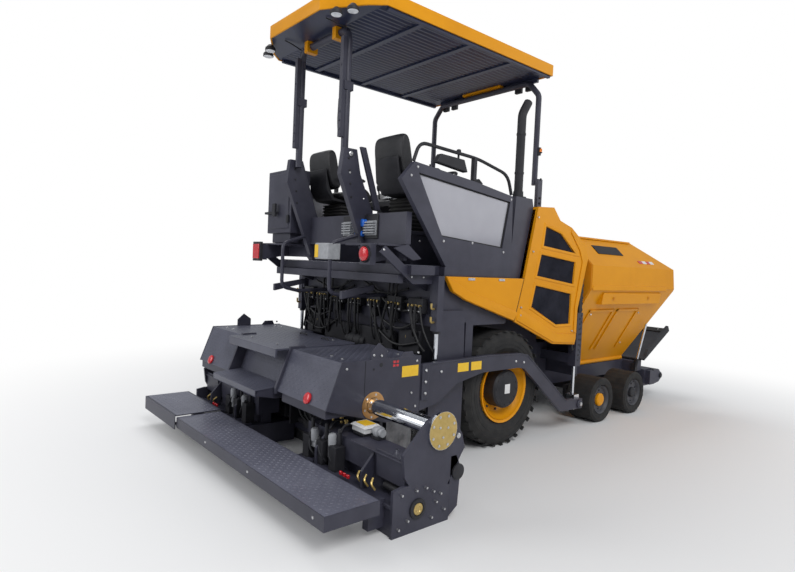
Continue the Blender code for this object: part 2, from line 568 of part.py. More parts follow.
# ---------------------------------------------------------------- hopper
def build_hopper():
    outer = ((WING_Y, WING_Z), (1.235, 1.60), (HALF_W, 1.63), (HALF_W, 1.90), (0.90, 2.24))
    inner = ((0.90 - 0.012, 2.22), (HALF_W - WING_T, 1.89), (HALF_W - WING_T, 1.636), (1.217, 1.61), (WING_Y - 0.01, WING_Z + 0.012))
    for tag, side in SIDES:
        section = [(side * y, z) for y, z in outer + inner]
        forms = [
            prism(section, "X", WING_X[0], 3.60),
            rod("X", (side * WING_Y, WING_Z), WING_R, WING_X[0], WING_X[1], 12),
            prism([(side * y, z) for y, z in ((1.14, 1.43), (1.20, 1.43), (1.225, 1.56), (1.21, 1.57))], "X", 1.7, 3.2),
        ]
        nose = ((3.20, 0.50), (3.20, 0.60), (3.56, 1.60), (3.50, 1.90), (2.85, 2.26), (2.85, 2.4), (3.9, 2.4), (3.9, 0.5))
        node(f"hopper_wing_{tag}", ORANGE, forms, [prism(nose, "Y", side * 0.5, side * 1.4)],
             pivot=(WING_X[0], side * WING_Y, WING_Z))
    along = Vector((math.cos(APRON_SLOPE), math.sin(APRON_SLOPE)))
    up = Vector((-along.y, along.x))
    at = Vector((APRON_X, APRON_Z))
    plate = [tuple(at + along * a + up * b) for a, b in (
        (0, -APRON_T), (APRON_LONG, -APRON_T), (APRON_LONG, APRON_T), (0, APRON_T))]
    rib = [tuple(at + along * a + up * b) for a, b in (
        (0.05, 0), (APRON_LONG, 0), (APRON_LONG, 0.075), (0.16, 0.075))]
    node("front_apron", BLACK, [
        rod("Y", (APRON_X, APRON_Z), 0.025, -0.88, 0.88, 12),
        prism(plate, "Y", -APRON_HALF, APRON_HALF),
        prism(rib, "Y", -APRON_HALF, -APRON_HALF + 0.04), prism(rib, "Y", APRON_HALF - 0.04, APRON_HALF),
    ], pivot=(APRON_X, 0, APRON_Z))
    forms = [box(3.50, 3.72, -0.92, 0.92, 0.20, 0.44), box(3.4403, 3.52, -0.50, 0.50, 0.26, 0.43)]
    bracket = ((3.68, 0.22), (3.68, 0.43), (3.80, 0.43), (3.93, 0.36), (3.93, 0.30), (3.84, 0.24))
    for y0, y1 in ((-0.985, -0.955), (-0.015, 0.015), (0.955, 0.985)):
        forms.append(prism(bracket, "Y", y0, y1))
        if abs(y0) > 0.5:
            forms.append(box(3.56, 3.70, min(y0, y1, key=abs) * 0.94, max(y0, y1, key=abs), 0.22, 0.42))
    forms.append(box(3.30, 3.46, -0.30, 0.30, 0.30, RAIL_LOW + 0.0297))
    node("push_beam", DARK, forms, [hole("Y", (ROLLER_X, ROLLER_Z), 0.02, -1.1, 1.1, 24)])
    for tag, side in SIDES:
        roll = ((0.003, 0), (0.003, 0.02), (0.025, 0.02), (0.025, ROLLER_R), (0.945, ROLLER_R), (0.945, 0.02),
                (0.98, 0.02), (0.98, 0))
        node(f"push_roller_{tag}", STEEL, [lathe(roll, "Y", (ROLLER_X, ROLLER_Z), 24, side)],
             pivot=(ROLLER_X, side * 0.48, ROLLER_Z))


# ---------------------------------------------------------------- tow arms and screed
def build_tow():
    for tag, side in SIDES:
        node(f"tow_arm_{tag}", DARK, [prism(ARM, "Y", side * ARM_Y[0], side * ARM_Y[1])], [
            hole("Y", (TOW_X, TOW_Z), 0.024, *span(side, 1.1, 1.4))], pivot=(TOW_X, side * 1.23, TOW_Z))
        node(f"tow_point_{tag}", CHROME, [
            side_box(side, TOW_X - 0.05, TOW_X + 0.05, 1.10, ARM_Y[0] - RUN, TOW_Z - 0.07, TOW_Z + 0.10),
            rod("Y", (TOW_X, TOW_Z), 0.024, *span(side, 1.15, 1.249)),
            rod("Z", (TOW_X, side * 1.15), LIFT_R, TOW_Z, 1.05),
        ], pivot=(TOW_X, side * 1.15, TOW_Z))
        node(f"lift_rod_{tag}", CHROME, [
            rod("Z", (LIFT_X, side * LIFT_Y), LIFT_R, 0.87, 1.42),
            rod("Y", (LIFT_X, 0.87), 0.034, *span(side, PLATE_Y[1] + 0.006, ARM_Y[0] - RUN)),
        ], pivot=(LIFT_X, side * LIFT_Y, 0.87))


def build_screed():
    inner = list(inset(SCREED_SIDE, SHEET))
    inner[0], inner[3] = (inner[0][0], 0.4), (inner[3][0], 0.4)
    forms = [prism(SCREED_SIDE, "Y", -HALF_W, HALF_W)]
    cuts = [prism(inner, "Y", -HALF_W + SHEET, HALF_W - SHEET)]
    node("screed_cover", DARK, forms, cuts + [
        hole("Y", (TUBE_X, TUBE_Z), TUBE_R, -HALF_W - 0.15, HALF_W + 0.15, 24)])
    node("screed_shoe", STEEL, [
        box(*SHOE_MAIN_X, -HALF_W, HALF_W, 0, 0.10),
        box(SHOE_MAIN_X[0] + 0.03, SHOE_MAIN_X[1] - 0.03, -HALF_W + 0.035, HALF_W - 0.035, 0.08, 1.03 - SHEET - SEAT),
    ], [rod("Y", (TUBE_X, TUBE_Z), TUBE_R + 0.02, -HALF_W - 0.05, HALF_W + 0.05)])


def build_extensions():
    inner_r, inner_l = PLATE_R + EXT_LENGTH, PLATE_L - EXT_LENGTH
    bracket = (
        (-2.11, 0.54), (-2.09, 0.39), (-1.99, 0.24), (-1.70, 0.24), (-1.52, 0.50), (-1.55, 0.60), (-1.64, 0.74),
        (TUBE_X, 0.797), (-1.90, 0.74),
    )
    plate = ((-2.185, 0.316), (-2.10, 0.33), (-1.918, 0.328), (-1.797, 0.27), (-1.66, 0.26), (-1.66, 0.0), (-2.185, 0.0))
    for tag, side, face, inner in (("r", -1.0, PLATE_R, inner_r), ("l", 1.0, PLATE_L, inner_l)):
        outer = face + side * PLATE_T
        forms = [
            prism(plate, "Y", face, outer),
            prism(bracket, "Y", face, outer),
            box(-2.06, -1.84, min(face, inner), max(face, inner) , 0.30, 0.47),
            box(SHOE_X[0], SHOE_X[1], min(face, inner) + 0.001, max(face, inner) - 0.001, 0.0, 0.20),
            box(-2.00, -1.90, min(face, inner) + 0.05, max(face, inner) - 0.05, 0.15, 0.35),
        ]
        node(f"extension_{tag}", DARK, forms, [hole("Y", (TUBE_X, TUBE_Z), TUBE_R, -3, 3, 24, SEAT)],
             pivot=(TUBE_X, face, TUBE_Z))
        near, far = TUBE_IN + abs(face) - HALF_W - CLEAR, abs(outer)
        tube = ((near, 0), (near, TUBE_R), (far + SEAT, TUBE_R), (far + SEAT, DISC_R), (far + DISC_T, DISC_R),
                (far + DISC_T, 0))
        node(f"tube_{tag}", CHROME, [lathe(tube, "Y", (TUBE_X, TUBE_Z), 24, side)], pivot=(TUBE_X, face, TUBE_Z))
    # right board runs inside the left one
    for y0, name in ((BOARD_END_R, "r"),):
        forms = [box(*BOARD_X, y0, BOARD_MEET, *BOARD_Z)]
        for y in (-1.90, -1.00):
            forms.append(box(BOARD_X[1] - 0.02, SHOE_X[0] - SEAT, y - 0.03, y + 0.03, 0.05, 0.24))
        node("walkway_r", DARK, forms, pivot=(BOARD_X[1], PLATE_R, BOARD_Z[0]))
    skin = 0.006
    forms = [box(BOARD_X[0] - skin - 0.009, BOARD_X[1] + skin + 0.007, BOARD_MEET + CLEAR, BOARD_END_L, 0.17, 0.30)]
    for y in (0.70, 1.25):
        forms.append(box(BOARD_X[1] + skin, SHOE_X[0] - SEAT, y - 0.03, y + 0.03, 0.05, 0.24))
    node("walkway_l", DARK, forms, [
        box(BOARD_X[0] - 0.008, BOARD_X[1] + 0.006, 0.3, BOARD_END_L - 0.006, 0.1, BOARD_Z[1] + 0.007)],
        pivot=(BOARD_X[1], PLATE_L, BOARD_Z[0]))


def build_augers():
    for tag, side in SIDES:
        node(f"auger_{tag}", STEEL, [auger_form(side)], pivot=(AUGER_X, side * 0.6, AUGER_Z))


build_chassis()
build_rear_wheels()
build_front_wheels()
build_hood()
build_platform()
build_canopy()
build_hopper()
build_tow()
build_screed()
build_extensions()
build_augers()
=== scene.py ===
"""Looks of the wheeled asphalt paver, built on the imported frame."""

import json
import math
import random

import bmesh
import bpy
from mathutils import Matrix, Vector

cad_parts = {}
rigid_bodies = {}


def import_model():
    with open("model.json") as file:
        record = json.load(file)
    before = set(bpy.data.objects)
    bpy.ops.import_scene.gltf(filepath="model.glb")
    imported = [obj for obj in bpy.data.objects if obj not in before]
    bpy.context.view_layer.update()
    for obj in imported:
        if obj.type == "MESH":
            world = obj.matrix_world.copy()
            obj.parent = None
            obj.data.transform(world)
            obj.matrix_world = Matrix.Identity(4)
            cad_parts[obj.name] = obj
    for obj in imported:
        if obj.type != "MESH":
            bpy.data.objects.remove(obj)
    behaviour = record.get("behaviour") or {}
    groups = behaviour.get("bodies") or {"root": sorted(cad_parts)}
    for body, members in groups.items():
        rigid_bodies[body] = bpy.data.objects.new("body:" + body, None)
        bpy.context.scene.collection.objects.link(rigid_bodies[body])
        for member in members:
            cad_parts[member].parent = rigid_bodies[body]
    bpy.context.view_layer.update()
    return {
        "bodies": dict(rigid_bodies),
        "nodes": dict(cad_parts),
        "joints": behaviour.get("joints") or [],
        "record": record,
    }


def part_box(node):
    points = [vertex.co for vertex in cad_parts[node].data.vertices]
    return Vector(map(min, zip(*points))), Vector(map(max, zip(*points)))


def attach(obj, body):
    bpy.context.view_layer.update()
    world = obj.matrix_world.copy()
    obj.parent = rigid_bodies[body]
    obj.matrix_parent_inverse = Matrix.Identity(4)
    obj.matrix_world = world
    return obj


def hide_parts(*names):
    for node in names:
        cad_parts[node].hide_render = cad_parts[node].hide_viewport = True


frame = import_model()
nodes = frame["nodes"]
rng = random.Random(7)

# Machine frame: rear axle over x = 0, middle of the chassis over y = 0
_r, _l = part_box("rear_tyre_r"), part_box("rear_tyre_l")
AX = (_r[0][0] + _r[1][0]) / 2
CY = (_r[0][1] + _l[1][1]) / 2
SIDES = (("r", -1.0), ("l", 1.0))


def M(x, y, z):
    return Vector((x + AX, y + CY, z))


# ------------------------------------------------------------------ materials
def new_material(name):
    material = bpy.data.materials.new(name)
    material.use_nodes = True
    tree = material.node_tree
    return material, tree, tree.nodes["Principled BSDF"]


def add(tree, kind, **values):
    item = tree.nodes.new(kind)
    for key, value in values.items():
        if hasattr(item, key):
            setattr(item, key, value)
        else:
            item.inputs[key.replace("_", " ")].default_value = value
    return item


def surface(name, dark, light, rough=(0.35, 0.5), metal=0.0, scale=6.0, bump=0.05, grain=220.0, coat=0.0,
            pattern=None, spec=0.5):
    """Colour varied between two tones by soft noise, with wear in the roughness and a fine grain."""
    material, tree, shader = new_material(name)
    link = tree.links.new
    where = add(tree, "ShaderNodeTexCoord")
    cloud = add(tree, "ShaderNodeTexNoise", Scale=scale, Detail=6.0, Roughness=0.6)
    link(where.outputs["Object"], cloud.inputs["Vector"])
    ramp = add(tree, "ShaderNodeValToRGB")
    ramp.color_ramp.elements[0].position, ramp.color_ramp.elements[1].position = 0.35, 0.68
    ramp.color_ramp.elements[0].color, ramp.color_ramp.elements[1].color = (*dark, 1), (*light, 1)
    link(cloud.outputs["Fac"], ramp.inputs["Fac"])
    link(ramp.outputs["Color"], shader.inputs["Base Color"])
    spread = add(tree, "ShaderNodeMapRange")
    spread.inputs["To Min"].default_value, spread.inputs["To Max"].default_value = rough
    link(cloud.outputs["Fac"], spread.inputs["Value"])
    link(spread.outputs["Result"], shader.inputs["Roughness"])
    shader.inputs["Metallic"].default_value = metal
    shader.inputs["Coat Weight"].default_value = coat
    shader.inputs["Specular IOR Level"].default_value = spec
    fine = add(tree, "ShaderNodeTexNoise", Scale=grain, Detail=3.0)
    link(where.outputs["Object"], fine.inputs["Vector"])
    height = fine.outputs["Fac"]
    if pattern:
        height = pattern(tree, where, fine)
    lift = add(tree, "ShaderNodeBump", Strength=bump, Distance=0.004)
    link(height, lift.inputs["Height"])
    link(lift.outputs["Normal"], shader.inputs["Normal"])
    return material


def mesh_holes(tree, where, fine):
    cell = add(tree, "ShaderNodeTexVoronoi", Scale=110.0, Randomness=0.0)
    tree.links.new(where.outputs["Object"], cell.inputs["Vector"])
    return cell.outputs["Distance"]


ORANGE = surface("orange_paint", (0.71, 0.285, 0.003), (0.78, 0.325, 0.005), (0.36, 0.44), scale=1.6, bump=0.012,
                 spec=0.22)
# Painted shade: a darker copy of the orange paint, put in the wing slots and on the hopper's inner wall where shade
# falls.
SHADED_ORANGE = surface("orange_painted_shade", (0.56, 0.20, 0.004), (0.66, 0.25, 0.008), (0.45, 0.6), scale=4.0, bump=0.05, spec=0.2)
DARK = surface("dark_paint", (0.034, 0.034, 0.052), (0.052, 0.052, 0.074), (0.36, 0.48), scale=4.0, bump=0.03,
               spec=0.4)
# Tread plate: its own blue-grey, partly a painted bluish sheen, lightened to the tone that lit top faces show.
TREAD_SHEEN = surface("tread_plate_painted_sheen", (0.060, 0.062, 0.088), (0.092, 0.095, 0.130), (0.24, 0.36), scale=2.5, bump=0.08)
# Walkway plate: its own blue-grey, partly a painted bluish sheen, lightened to the tone that its lit top shows.
WALK_SHEEN = surface("walkway_plate_painted_sheen", (0.095, 0.097, 0.130), (0.150, 0.153, 0.198), (0.18, 0.34), scale=1.2, bump=0.06)
BLACK = surface("black_steel", (0.016, 0.016, 0.02), (0.03, 0.03, 0.035), (0.45, 0.65), bump=0.08, spec=0.35)
RIM = surface("rim_grey", (0.045, 0.046, 0.055), (0.075, 0.076, 0.086), (0.4, 0.6), scale=14.0, bump=0.08)
GRILLE = surface("grille", (0.008, 0.009, 0.016), (0.022, 0.023, 0.034), (0.7, 0.85), bump=0.9, pattern=mesh_holes,
                 spec=0.12)
RUBBER = surface("rubber", (0.012, 0.012, 0.013), (0.030, 0.029, 0.028), (0.75, 0.95), scale=9.0, bump=0.18,
                 grain=140)
HOSE = surface("hose_rubber", (0.008, 0.008, 0.010), (0.02, 0.02, 0.022), (0.45, 0.6), bump=0.05)
CHROME = surface("chrome", (0.70, 0.72, 0.76), (0.80, 0.82, 0.86), (0.06, 0.16), 1.0, scale=14.0, bump=0.01)
STEEL = surface("worn_steel", (0.10, 0.10, 0.105), (0.24, 0.24, 0.25), (0.4, 0.6), 0.8, scale=10.0, bump=0.12)
BOLT = surface("zinc_bolt", (0.55, 0.55, 0.56), (0.7, 0.7, 0.7), (0.25, 0.4), 0.9, scale=60.0, bump=0.02)
BRASS = surface("brass", (0.52, 0.37, 0.12), (0.62, 0.46, 0.18), (0.3, 0.45), 0.75, scale=20.0, bump=0.05)
BRONZE = surface("bronze", (0.48, 0.25, 0.09), (0.60, 0.34, 0.14), (0.3, 0.45), 0.8, scale=20.0, bump=0.05)
LEATHER = surface("seat_vinyl", (0.010, 0.010, 0.012), (0.022, 0.022, 0.026), (0.45, 0.6), scale=12.0, bump=0.25,
                  grain=420)
WHITE = surface("white_plate", (0.72, 0.72, 0.72), (0.8, 0.8, 0.8), (0.4, 0.5), scale=30.0, bump=0.02)
YELLOW = surface("yellow_plate", (0.86, 0.52, 0.02), (0.92, 0.58, 0.03), (0.35, 0.45), scale=30.0, bump=0.02)
RED = surface("red_lens", (0.52, 0.012, 0.02), (0.66, 0.02, 0.03), (0.12, 0.2), scale=90.0, bump=0.15, grain=400,
              coat=0.5)
BLUE = surface("blue_socket", (0.015, 0.13, 0.60), (0.03, 0.18, 0.72), (0.3, 0.4), scale=40.0, bump=0.02)
GREY = surface("grey_plastic", (0.30, 0.31, 0.33), (0.40, 0.41, 0.43), (0.4, 0.5), scale=20.0, bump=0.05)
LAMP = surface("lamp_glass", (0.80, 0.82, 0.86), (0.92, 0.94, 0.97), (0.08, 0.14), scale=50.0, bump=0.1, coat=0.6)
AMBER_LENS = surface("amber_lens", (0.85, 0.20, 0.01), (0.95, 0.28, 0.02), (0.12, 0.2), scale=60.0, bump=0.1)
UNDER = surface("canopy_lining", (0.018, 0.024, 0.055), (0.035, 0.042, 0.085), (0.3, 0.45), scale=3.0, bump=0.04)


def tinted_pane():
    material, tree, shader = new_material("tinted_pane")
    link = tree.links.new
    haze = add(tree, "ShaderNodeTexNoise", Scale=2.2, Detail=3.0)
    link(add(tree, "ShaderNodeTexCoord").outputs["Object"], haze.inputs["Vector"])
    tone = add(tree, "ShaderNodeValToRGB")
    first, last = tone.color_ramp.elements
    first.color, last.color = (0.30, 0.30, 0.34, 1), (0.46, 0.46, 0.51, 1)
    link(haze.outputs["Fac"], tone.inputs["Fac"])
    link(tone.outputs["Color"], shader.inputs["Base Color"])
    shader.inputs["Roughness"].default_value = 0.10
    shader.inputs["Alpha"].default_value = 0.86
    return material


GLASS = tinted_pane()
SLOTS = {
    "orange_paint": (ORANGE, SHADED_ORANGE, YELLOW, RED, AMBER_LENS),
    "dark_paint": (DARK, TREAD_SHEEN, WALK_SHEEN, UNDER),
    "black_steel": (BLACK, RIM, GRILLE, HOSE),
    "chrome": (CHROME, BOLT, BRASS, BRONZE, WHITE, BLUE, GREY, LAMP),
    "worn_steel": (STEEL,),
    "rubber": (RUBBER,),
    "glass": (GLASS,),
}
SLOT_OF = {material: slot for slot, materials in SLOTS.items() for material in materials}

LOOKS = {
    ORANGE: "hopper_wing_r hopper_wing_l side_lid_r side_lid_l hood canopy_roof rear_rim_r rear_rim_l",
    DARK: "main_frame cowl sidewall_r sidewall_l rear_frame canopy_hoop canopy_posts post_stand push_beam"
    " tow_arm_r tow_arm_l extension_r extension_l platform_deck side_frame_r side_frame_l hopper_back"
    " walkway_r walkway_l",
    TREAD_SHEEN: "screed_cover",
    BLACK: "engine_block axle_r axle_l front_bogie console muffler front_apron knuckle_rear_r knuckle_rear_l"
    " knuckle_front_r knuckle_front_l",
    RUBBER: "rear_tyre_r rear_tyre_l front_wheel_rear_r front_wheel_rear_l front_wheel_front_r front_wheel_front_l",
    CHROME: "tow_point_r tow_point_l lift_rod_r lift_rod_l tube_r tube_l",
    GLASS: "glass_r glass_l",
    STEEL: "push_roller_r push_roller_l screed_shoe auger_r auger_l",
    LEATHER: "seat_r seat_l",
}
for material, names in LOOKS.items():
    for name in names.split():
        for place in nodes[name].material_slots:
            place.material = material
SOFT_EDGES = {
    "hood": 0.018, "side_lid_r": 0.012, "side_lid_l": 0.012, "hopper_wing_r": 0.012, "hopper_wing_l": 0.012,
    "canopy_roof": 0.02, "sidewall_r": 0.008, "sidewall_l": 0.008, "cowl": 0.01, "screed_cover": 0.006,
    "walkway_r": 0.006, "tow_arm_r": 0.004, "tow_arm_l": 0.004, "rear_frame": 0.003, "console": 0.012,
}
for name, width in SOFT_EDGES.items():
    soften = nodes[name].modifiers.new("soft_edge", "BEVEL")
    soften.width, soften.segments, soften.limit_method, soften.angle_limit = width, 2, "ANGLE", math.radians(28)
    soften.harden_normals = True


# ------------------------------------------------------------------ piece building
def circle(count, turn=0.0):
    """Angles evenly round a circle, started a part of a step on."""
    return [2 * math.pi * (k + turn) / count for k in range(count)]


class Piece:
    """Collects small forms of one material that ride on one body, as one mesh."""

    def __init__(self, name, material, body="chassis", slot=None, smooth=True):
        self.name, self.body, self.material, self.smooth = name, body, material, smooth
        self.slot = slot or SLOT_OF[material]
        self.points, self.faces = [], []

    def put(self, points, faces):
        base = len(self.points)
        self.points += [Vector(p) for p in points]
        self.faces += [tuple(base + i for i in face) for face in faces]
        return self

    def prism(self, outline, axis, low, high, taper=0.0):
        """Outline in machine coordinates drawn along an axis; taper pulls the far face in."""
        at = {"X": lambda a, b, t: M(t, a, b), "Y": lambda a, b, t: M(a, t, b), "Z": lambda a, b, t: M(a, b, t)}[axis]
        n = len(outline)
        ca, cb = sum(p[0] for p in outline) / n, sum(p[1] for p in outline) / n
        far = [(a + (ca - a) * taper, b + (cb - b) * taper) for a, b in outline]
        points = [at(a, b, low) for a, b in outline] + [at(a, b, high) for a, b in far]
        faces = [tuple(range(n)), tuple(range(n, 2 * n))]
        faces += [(i, (i + 1) % n, n + (i + 1) % n, n + i) for i in range(n)]
        return self.put(points, faces)

    def box(self, x0, x1, y0, y1, z0, z1):
        return self.prism(((x0, z0), (x1, z0), (x1, z1), (x0, z1)), "Y", y0, y1)

    def turn(self, profile, axis, centre, steps=24, sign=1.0, ring=False):
        """Profile of (station, radius) turned about an axis; a ring's closes on itself, others get flat ends."""
        at = {
            "X": lambda a, c, s: M(a, centre[0] + c, centre[1] + s),
            "Y": lambda a, c, s: M(centre[0] + c, a, centre[1] + s),
            "Z": lambda a, c, s: M(centre[0] + c, centre[1] + s, a),
        }[axis]
        points = []
        for station, radius in profile:
            for angle in circle(steps):
                points.append(at(sign * station, radius * math.cos(angle), radius * math.sin(angle)))
        n = len(profile)
        faces = [
            (i * steps + k, i * steps + (k + 1) % steps, (i + 1) % n * steps + (k + 1) % steps,
             (i + 1) % n * steps + k)
            for i in range(n if ring else n - 1) for k in range(steps)
        ]
        if not ring:
            faces += [tuple(range(steps)), tuple(range((n - 1) * steps, n * steps))]
        return self.put(points, faces)

    def pipe(self, path, radius, steps=10, round_by=0.05):
        path = rounded([Vector(p) for p in path], round_by)
        path = [M(*p) for p in path]
        lines = [(b - a).normalized() for a, b in zip(path, path[1:])]
        across = lines[0].orthogonal().normalized()
        points = []
        for i, point in enumerate(path):
            before, after = lines[max(i - 1, 0)], lines[min(i, len(lines) - 1)]
            along = (before + after).normalized()
            across = (across - along * across.dot(along)).normalized()
            other = along.cross(across)
            for angle in circle(steps):
                points.append(point + (across * math.cos(angle) + other * math.sin(angle)) * radius)
        n = len(path)
        faces = [
            (i * steps + k, i * steps + (k + 1) % steps, (i + 1) * steps + (k + 1) % steps, (i + 1) * steps + k)
            for i in range(n - 1) for k in range(steps)
        ]
        return self.put(points, faces + [tuple(range(steps)), tuple(range((n - 1) * steps, n * steps))])

    def bolt(self, x, y, z, axis="Y", way=-1.0, radius=0.013, tall=0.01):
        centre = {"X": (y, z), "Y": (x, z), "Z": (x, y)}[axis]
        low = {"X": x, "Y": y, "Z": z}[axis]
        return self.turn(((low, radius), (low + way * tall * 0.7, radius), (low + way * tall, radius * 0.7)), axis,
                         centre, 6)

    def done(self, bevel=0.0):
        mesh = bpy.data.meshes.new(self.name)
        mesh.from_pydata(self.points, [], self.faces)
        work = bmesh.new()
        work.from_mesh(mesh)
        bmesh.ops.recalc_face_normals(work, faces=work.faces)
        work.to_mesh(mesh)
        work.free()
        obj = bpy.data.objects.new(self.name, mesh)
        bpy.context.scene.collection.objects.link(obj)
        obj.data.materials.append(self.material)
        if self.smooth:
            for face in mesh.polygons:
                face.use_smooth = True
            mesh.set_sharp_from_angle(angle=math.radians(35))
        if bevel:
            soften = obj.modifiers.new("soft_edge", "BEVEL")
            soften.width, soften.segments, soften.limit_method = bevel, 2, "ANGLE"
        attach(obj, self.body)
        return obj


def flat_ring(n):
    """Faces of a flat ring whose points come as low outer, low inner, high outer and high inner."""
    faces = []
    for i in range(n):
        j = (i + 1) % n
        faces += [(i, j, n + j, n + i), (2 * n + i, 2 * n + j, 3 * n + j, 3 * n + i), (i, j, 2 * n + j, 2 * n + i),
                  (n + i, n + j, 3 * n + j, 3 * n + i)]
    return faces


def bands(n, rows):
    """Faces between rows of n points each, closed round from the last row to the first."""
    return [(a * n + i, a * n + (i + 1) % n, (a + 1) % rows * n + (i + 1) % n, (a + 1) % rows * n + i)
            for a in range(rows) for i in range(n)]


def rounded(path, radius, steps=5):
    out = [path[0]]
    for before, corner, after in zip(path, path[1:], path[2:]):
        back, on = (before - corner), (after - corner)
        reach = min(radius, back.length * 0.49, on.length * 0.49)
        start, end = corner + back.normalized() * reach, corner + on.normalized() * reach
        for k in range(steps + 1):
            t = k / steps
            out.append(start.lerp(corner, t).lerp(corner.lerp(end, t), t))
    return out + [path[-1]]


# ------------------------------------------------------------------ rear wheels
REAR_R = 0.59  # radius of the rear tyres
for tag, side in SIDES:
    body = f"rear_wheel_{tag}"
    lugs = Piece(f"rear_tread_{tag}", RUBBER, body)
    count = 30
    for k in range(count):
        for half, (y0, y1) in enumerate(((0.778, 0.96), (0.985, 1.162))):
            angle = 2 * math.pi * (k + 0.5 * half) / count
            slant = 0.1 if half else -0.1
            ring = []
            for y, turn in ((y0, 0.0), (y1, slant)):
                for wide, radius in ((-0.045, 0.578), (0.045, 0.578), (0.036, 0.5895), (-0.036, 0.5895)):
                    a = angle + turn + wide
                    ring.append(M(radius * math.sin(a), side * y, REAR_R + radius * math.cos(a)))
            lugs.put(ring, [(0, 1, 2, 3), (4, 5, 6, 7)] + [(i, (i + 1) % 4, 4 + (i + 1) % 4, 4 + i) for i in range(4)])
    lugs.done()
    rings = Piece(f"rear_sidewall_{tag}", RUBBER, body)
    for radius in (0.5, 0.455):
        rings.turn(((1.16, radius - 0.008), (1.1725, radius - 0.004), (1.1725, radius + 0.004),
                    (1.16, radius + 0.008)),
                   "Y", (0, REAR_R), 64, side, True)
    rings.done()
    hub = Piece(f"planet_hub_{tag}", BLACK, body)
    hub.turn(((1.02, 0.196), (1.175, 0.196), (1.194, 0.178), (1.194, 0.12), (1.197, 0.115)), "Y", (0, REAR_R), 40,
             side)
    hub.done()
    dish = Piece(f"rim_dish_{tag}", ORANGE, body)
    dish.turn(((1.04, 0.196), (1.05, 0.23), (1.07, 0.262), (1.12, 0.296), (1.15, 0.318), (1.16, 0.32), (1.15, 0.3225),
               (1.1, 0.311), (1.03, 0.3), (1.03, 0.196)), "Y", (0, REAR_R), 64, side, True)
    dish.done()
    bolts = Piece(f"hub_bolts_{tag}", BLACK, body)
    for angle in circle(12):
        bolts.bolt(0.158 * math.sin(angle + 0.1), side * 1.193, REAR_R + 0.158 * math.cos(angle + 0.1), way=side,
                   radius=0.011, tall=0.005)
    for angle in circle(10):
        bolts.bolt(0.232 * math.sin(angle), side * 1.05, REAR_R + 0.232 * math.cos(angle), way=side, radius=0.014,
                   tall=0.016)
    bolts.done()
    plate = Piece(f"hub_plate_{tag}", WHITE, body)
    plate.box(-0.035, 0.045, side * 1.194, side * 1.1975, REAR_R - 0.045, REAR_R + 0.05)
    plate.done()

# ------------------------------------------------------------------ front wheels
for tag, side in SIDES:
    for place, x in (("rear", 1.78), ("front", 2.58)):
        body = f"front_wheel_{place}_{tag}"
        z = 0.27  # radius of the front tyres
        rim = Piece(f"front_rim_{place}_{tag}", RIM, body)
        rim.turn(((1.165, 0.15), (1.232, 0.171), (1.237, 0.168), (1.222, 0.15), (1.2, 0.142), (1.197, 0.1)), "Y",
                 (x, z), 40, side)
        rim.done()
        rings = Piece(f"front_ring_{place}_{tag}", RUBBER, body)
        rings.turn(((1.236, 0.198), (1.2485, 0.203), (1.2485, 0.209), (1.236, 0.214)), "Y", (x, z), 40, side, True)
        rings.done()
        cap = Piece(f"front_cap_{place}_{tag}", ORANGE if place == "rear" else BLACK, body)
        size = 0.078 if place == "rear" else 0.064
        cap.turn(((1.19, size), (1.222, size), (1.234, size * 0.82), (1.236, size * 0.4)), "Y", (x, z), 32, side)
        cap.done()
        nuts = Piece(f"front_nuts_{place}_{tag}", BLACK, body)
        for angle in circle(6):
            nuts.bolt(x + 0.112 * math.sin(angle), side * 1.198, z + 0.112 * math.cos(angle), way=side, radius=0.01)
        nuts.done()

# ------------------------------------------------------------------ hood vents and trims
VENTS = (
    ((0.51, 2.28), (0.8, 2.22), (1.08, 2.02), (0.48, 2.07)),
    ((0.45, 1.98), (1.1, 1.92), (1.08, 1.67), (0.39, 1.75)),
    ((0.38, 1.65), (1.05, 1.56), (1.05, 1.22), (0.79, 1.22), (0.32, 1.42)),
)


def grow(outline, by):
    """The convex outline with each edge moved out by a distance."""
    n = len(outline)
    area = sum(a[0] * b[1] - b[0] * a[1] for a, b in zip(outline, outline[1:] + outline[:1]))
    way = 1 if area < 0 else -1
    lines = []
    for (x0, z0), (x1, z1) in zip(outline, outline[1:] + outline[:1]):
        long = math.hypot(x1 - x0, z1 - z0)
        nx, nz = -(z1 - z0) / long * way, (x1 - x0) / long * way
        lines.append((nx, nz, nx * x0 + nz * z0 + by))
    out = []
    for i in range(n):
        (a, b, c), (d, e, f) = lines[i - 1], lines[i]
        det = a * e - b * d
        out.append(((c * e - b * f) / det, (a * f - c * d) / det))
    return out


for tag, side in SIDES:
    frames = Piece(f"vent_frames_{tag}", ORANGE)
    for vent in VENTS:
        steps = ((-0.004, 1.188), (0.003, 1.204), (0.012, 1.2085), (0.024, 1.2085), (0.034, 1.2005), (0.034, 1.198),
                 (-0.004, 1.186))
        n = len(vent)
        points = [M(x, side * y, z) for by, y in steps for x, z in grow(vent, by)]
        frames.put(points, bands(n, len(steps)))
    frames.done()
    mesh = Piece(f"vent_mesh_{tag}", GRILLE)
    for vent in VENTS:
        cx, cz = sum(p[0] for p in vent) / len(vent), sum(p[1] for p in vent) / len(vent)
        mesh.prism([(cx + (x - cx) * 0.985, cz + (z - cz) * 0.985) for x, z in vent], "Y", side * 1.186, side * 1.191)
    mesh.done()

# ------------------------------------------------------------------ canopy
ROOF = (-1.68, 0.83, 0.95, 4.00)  # rear and front edge, half width, underside


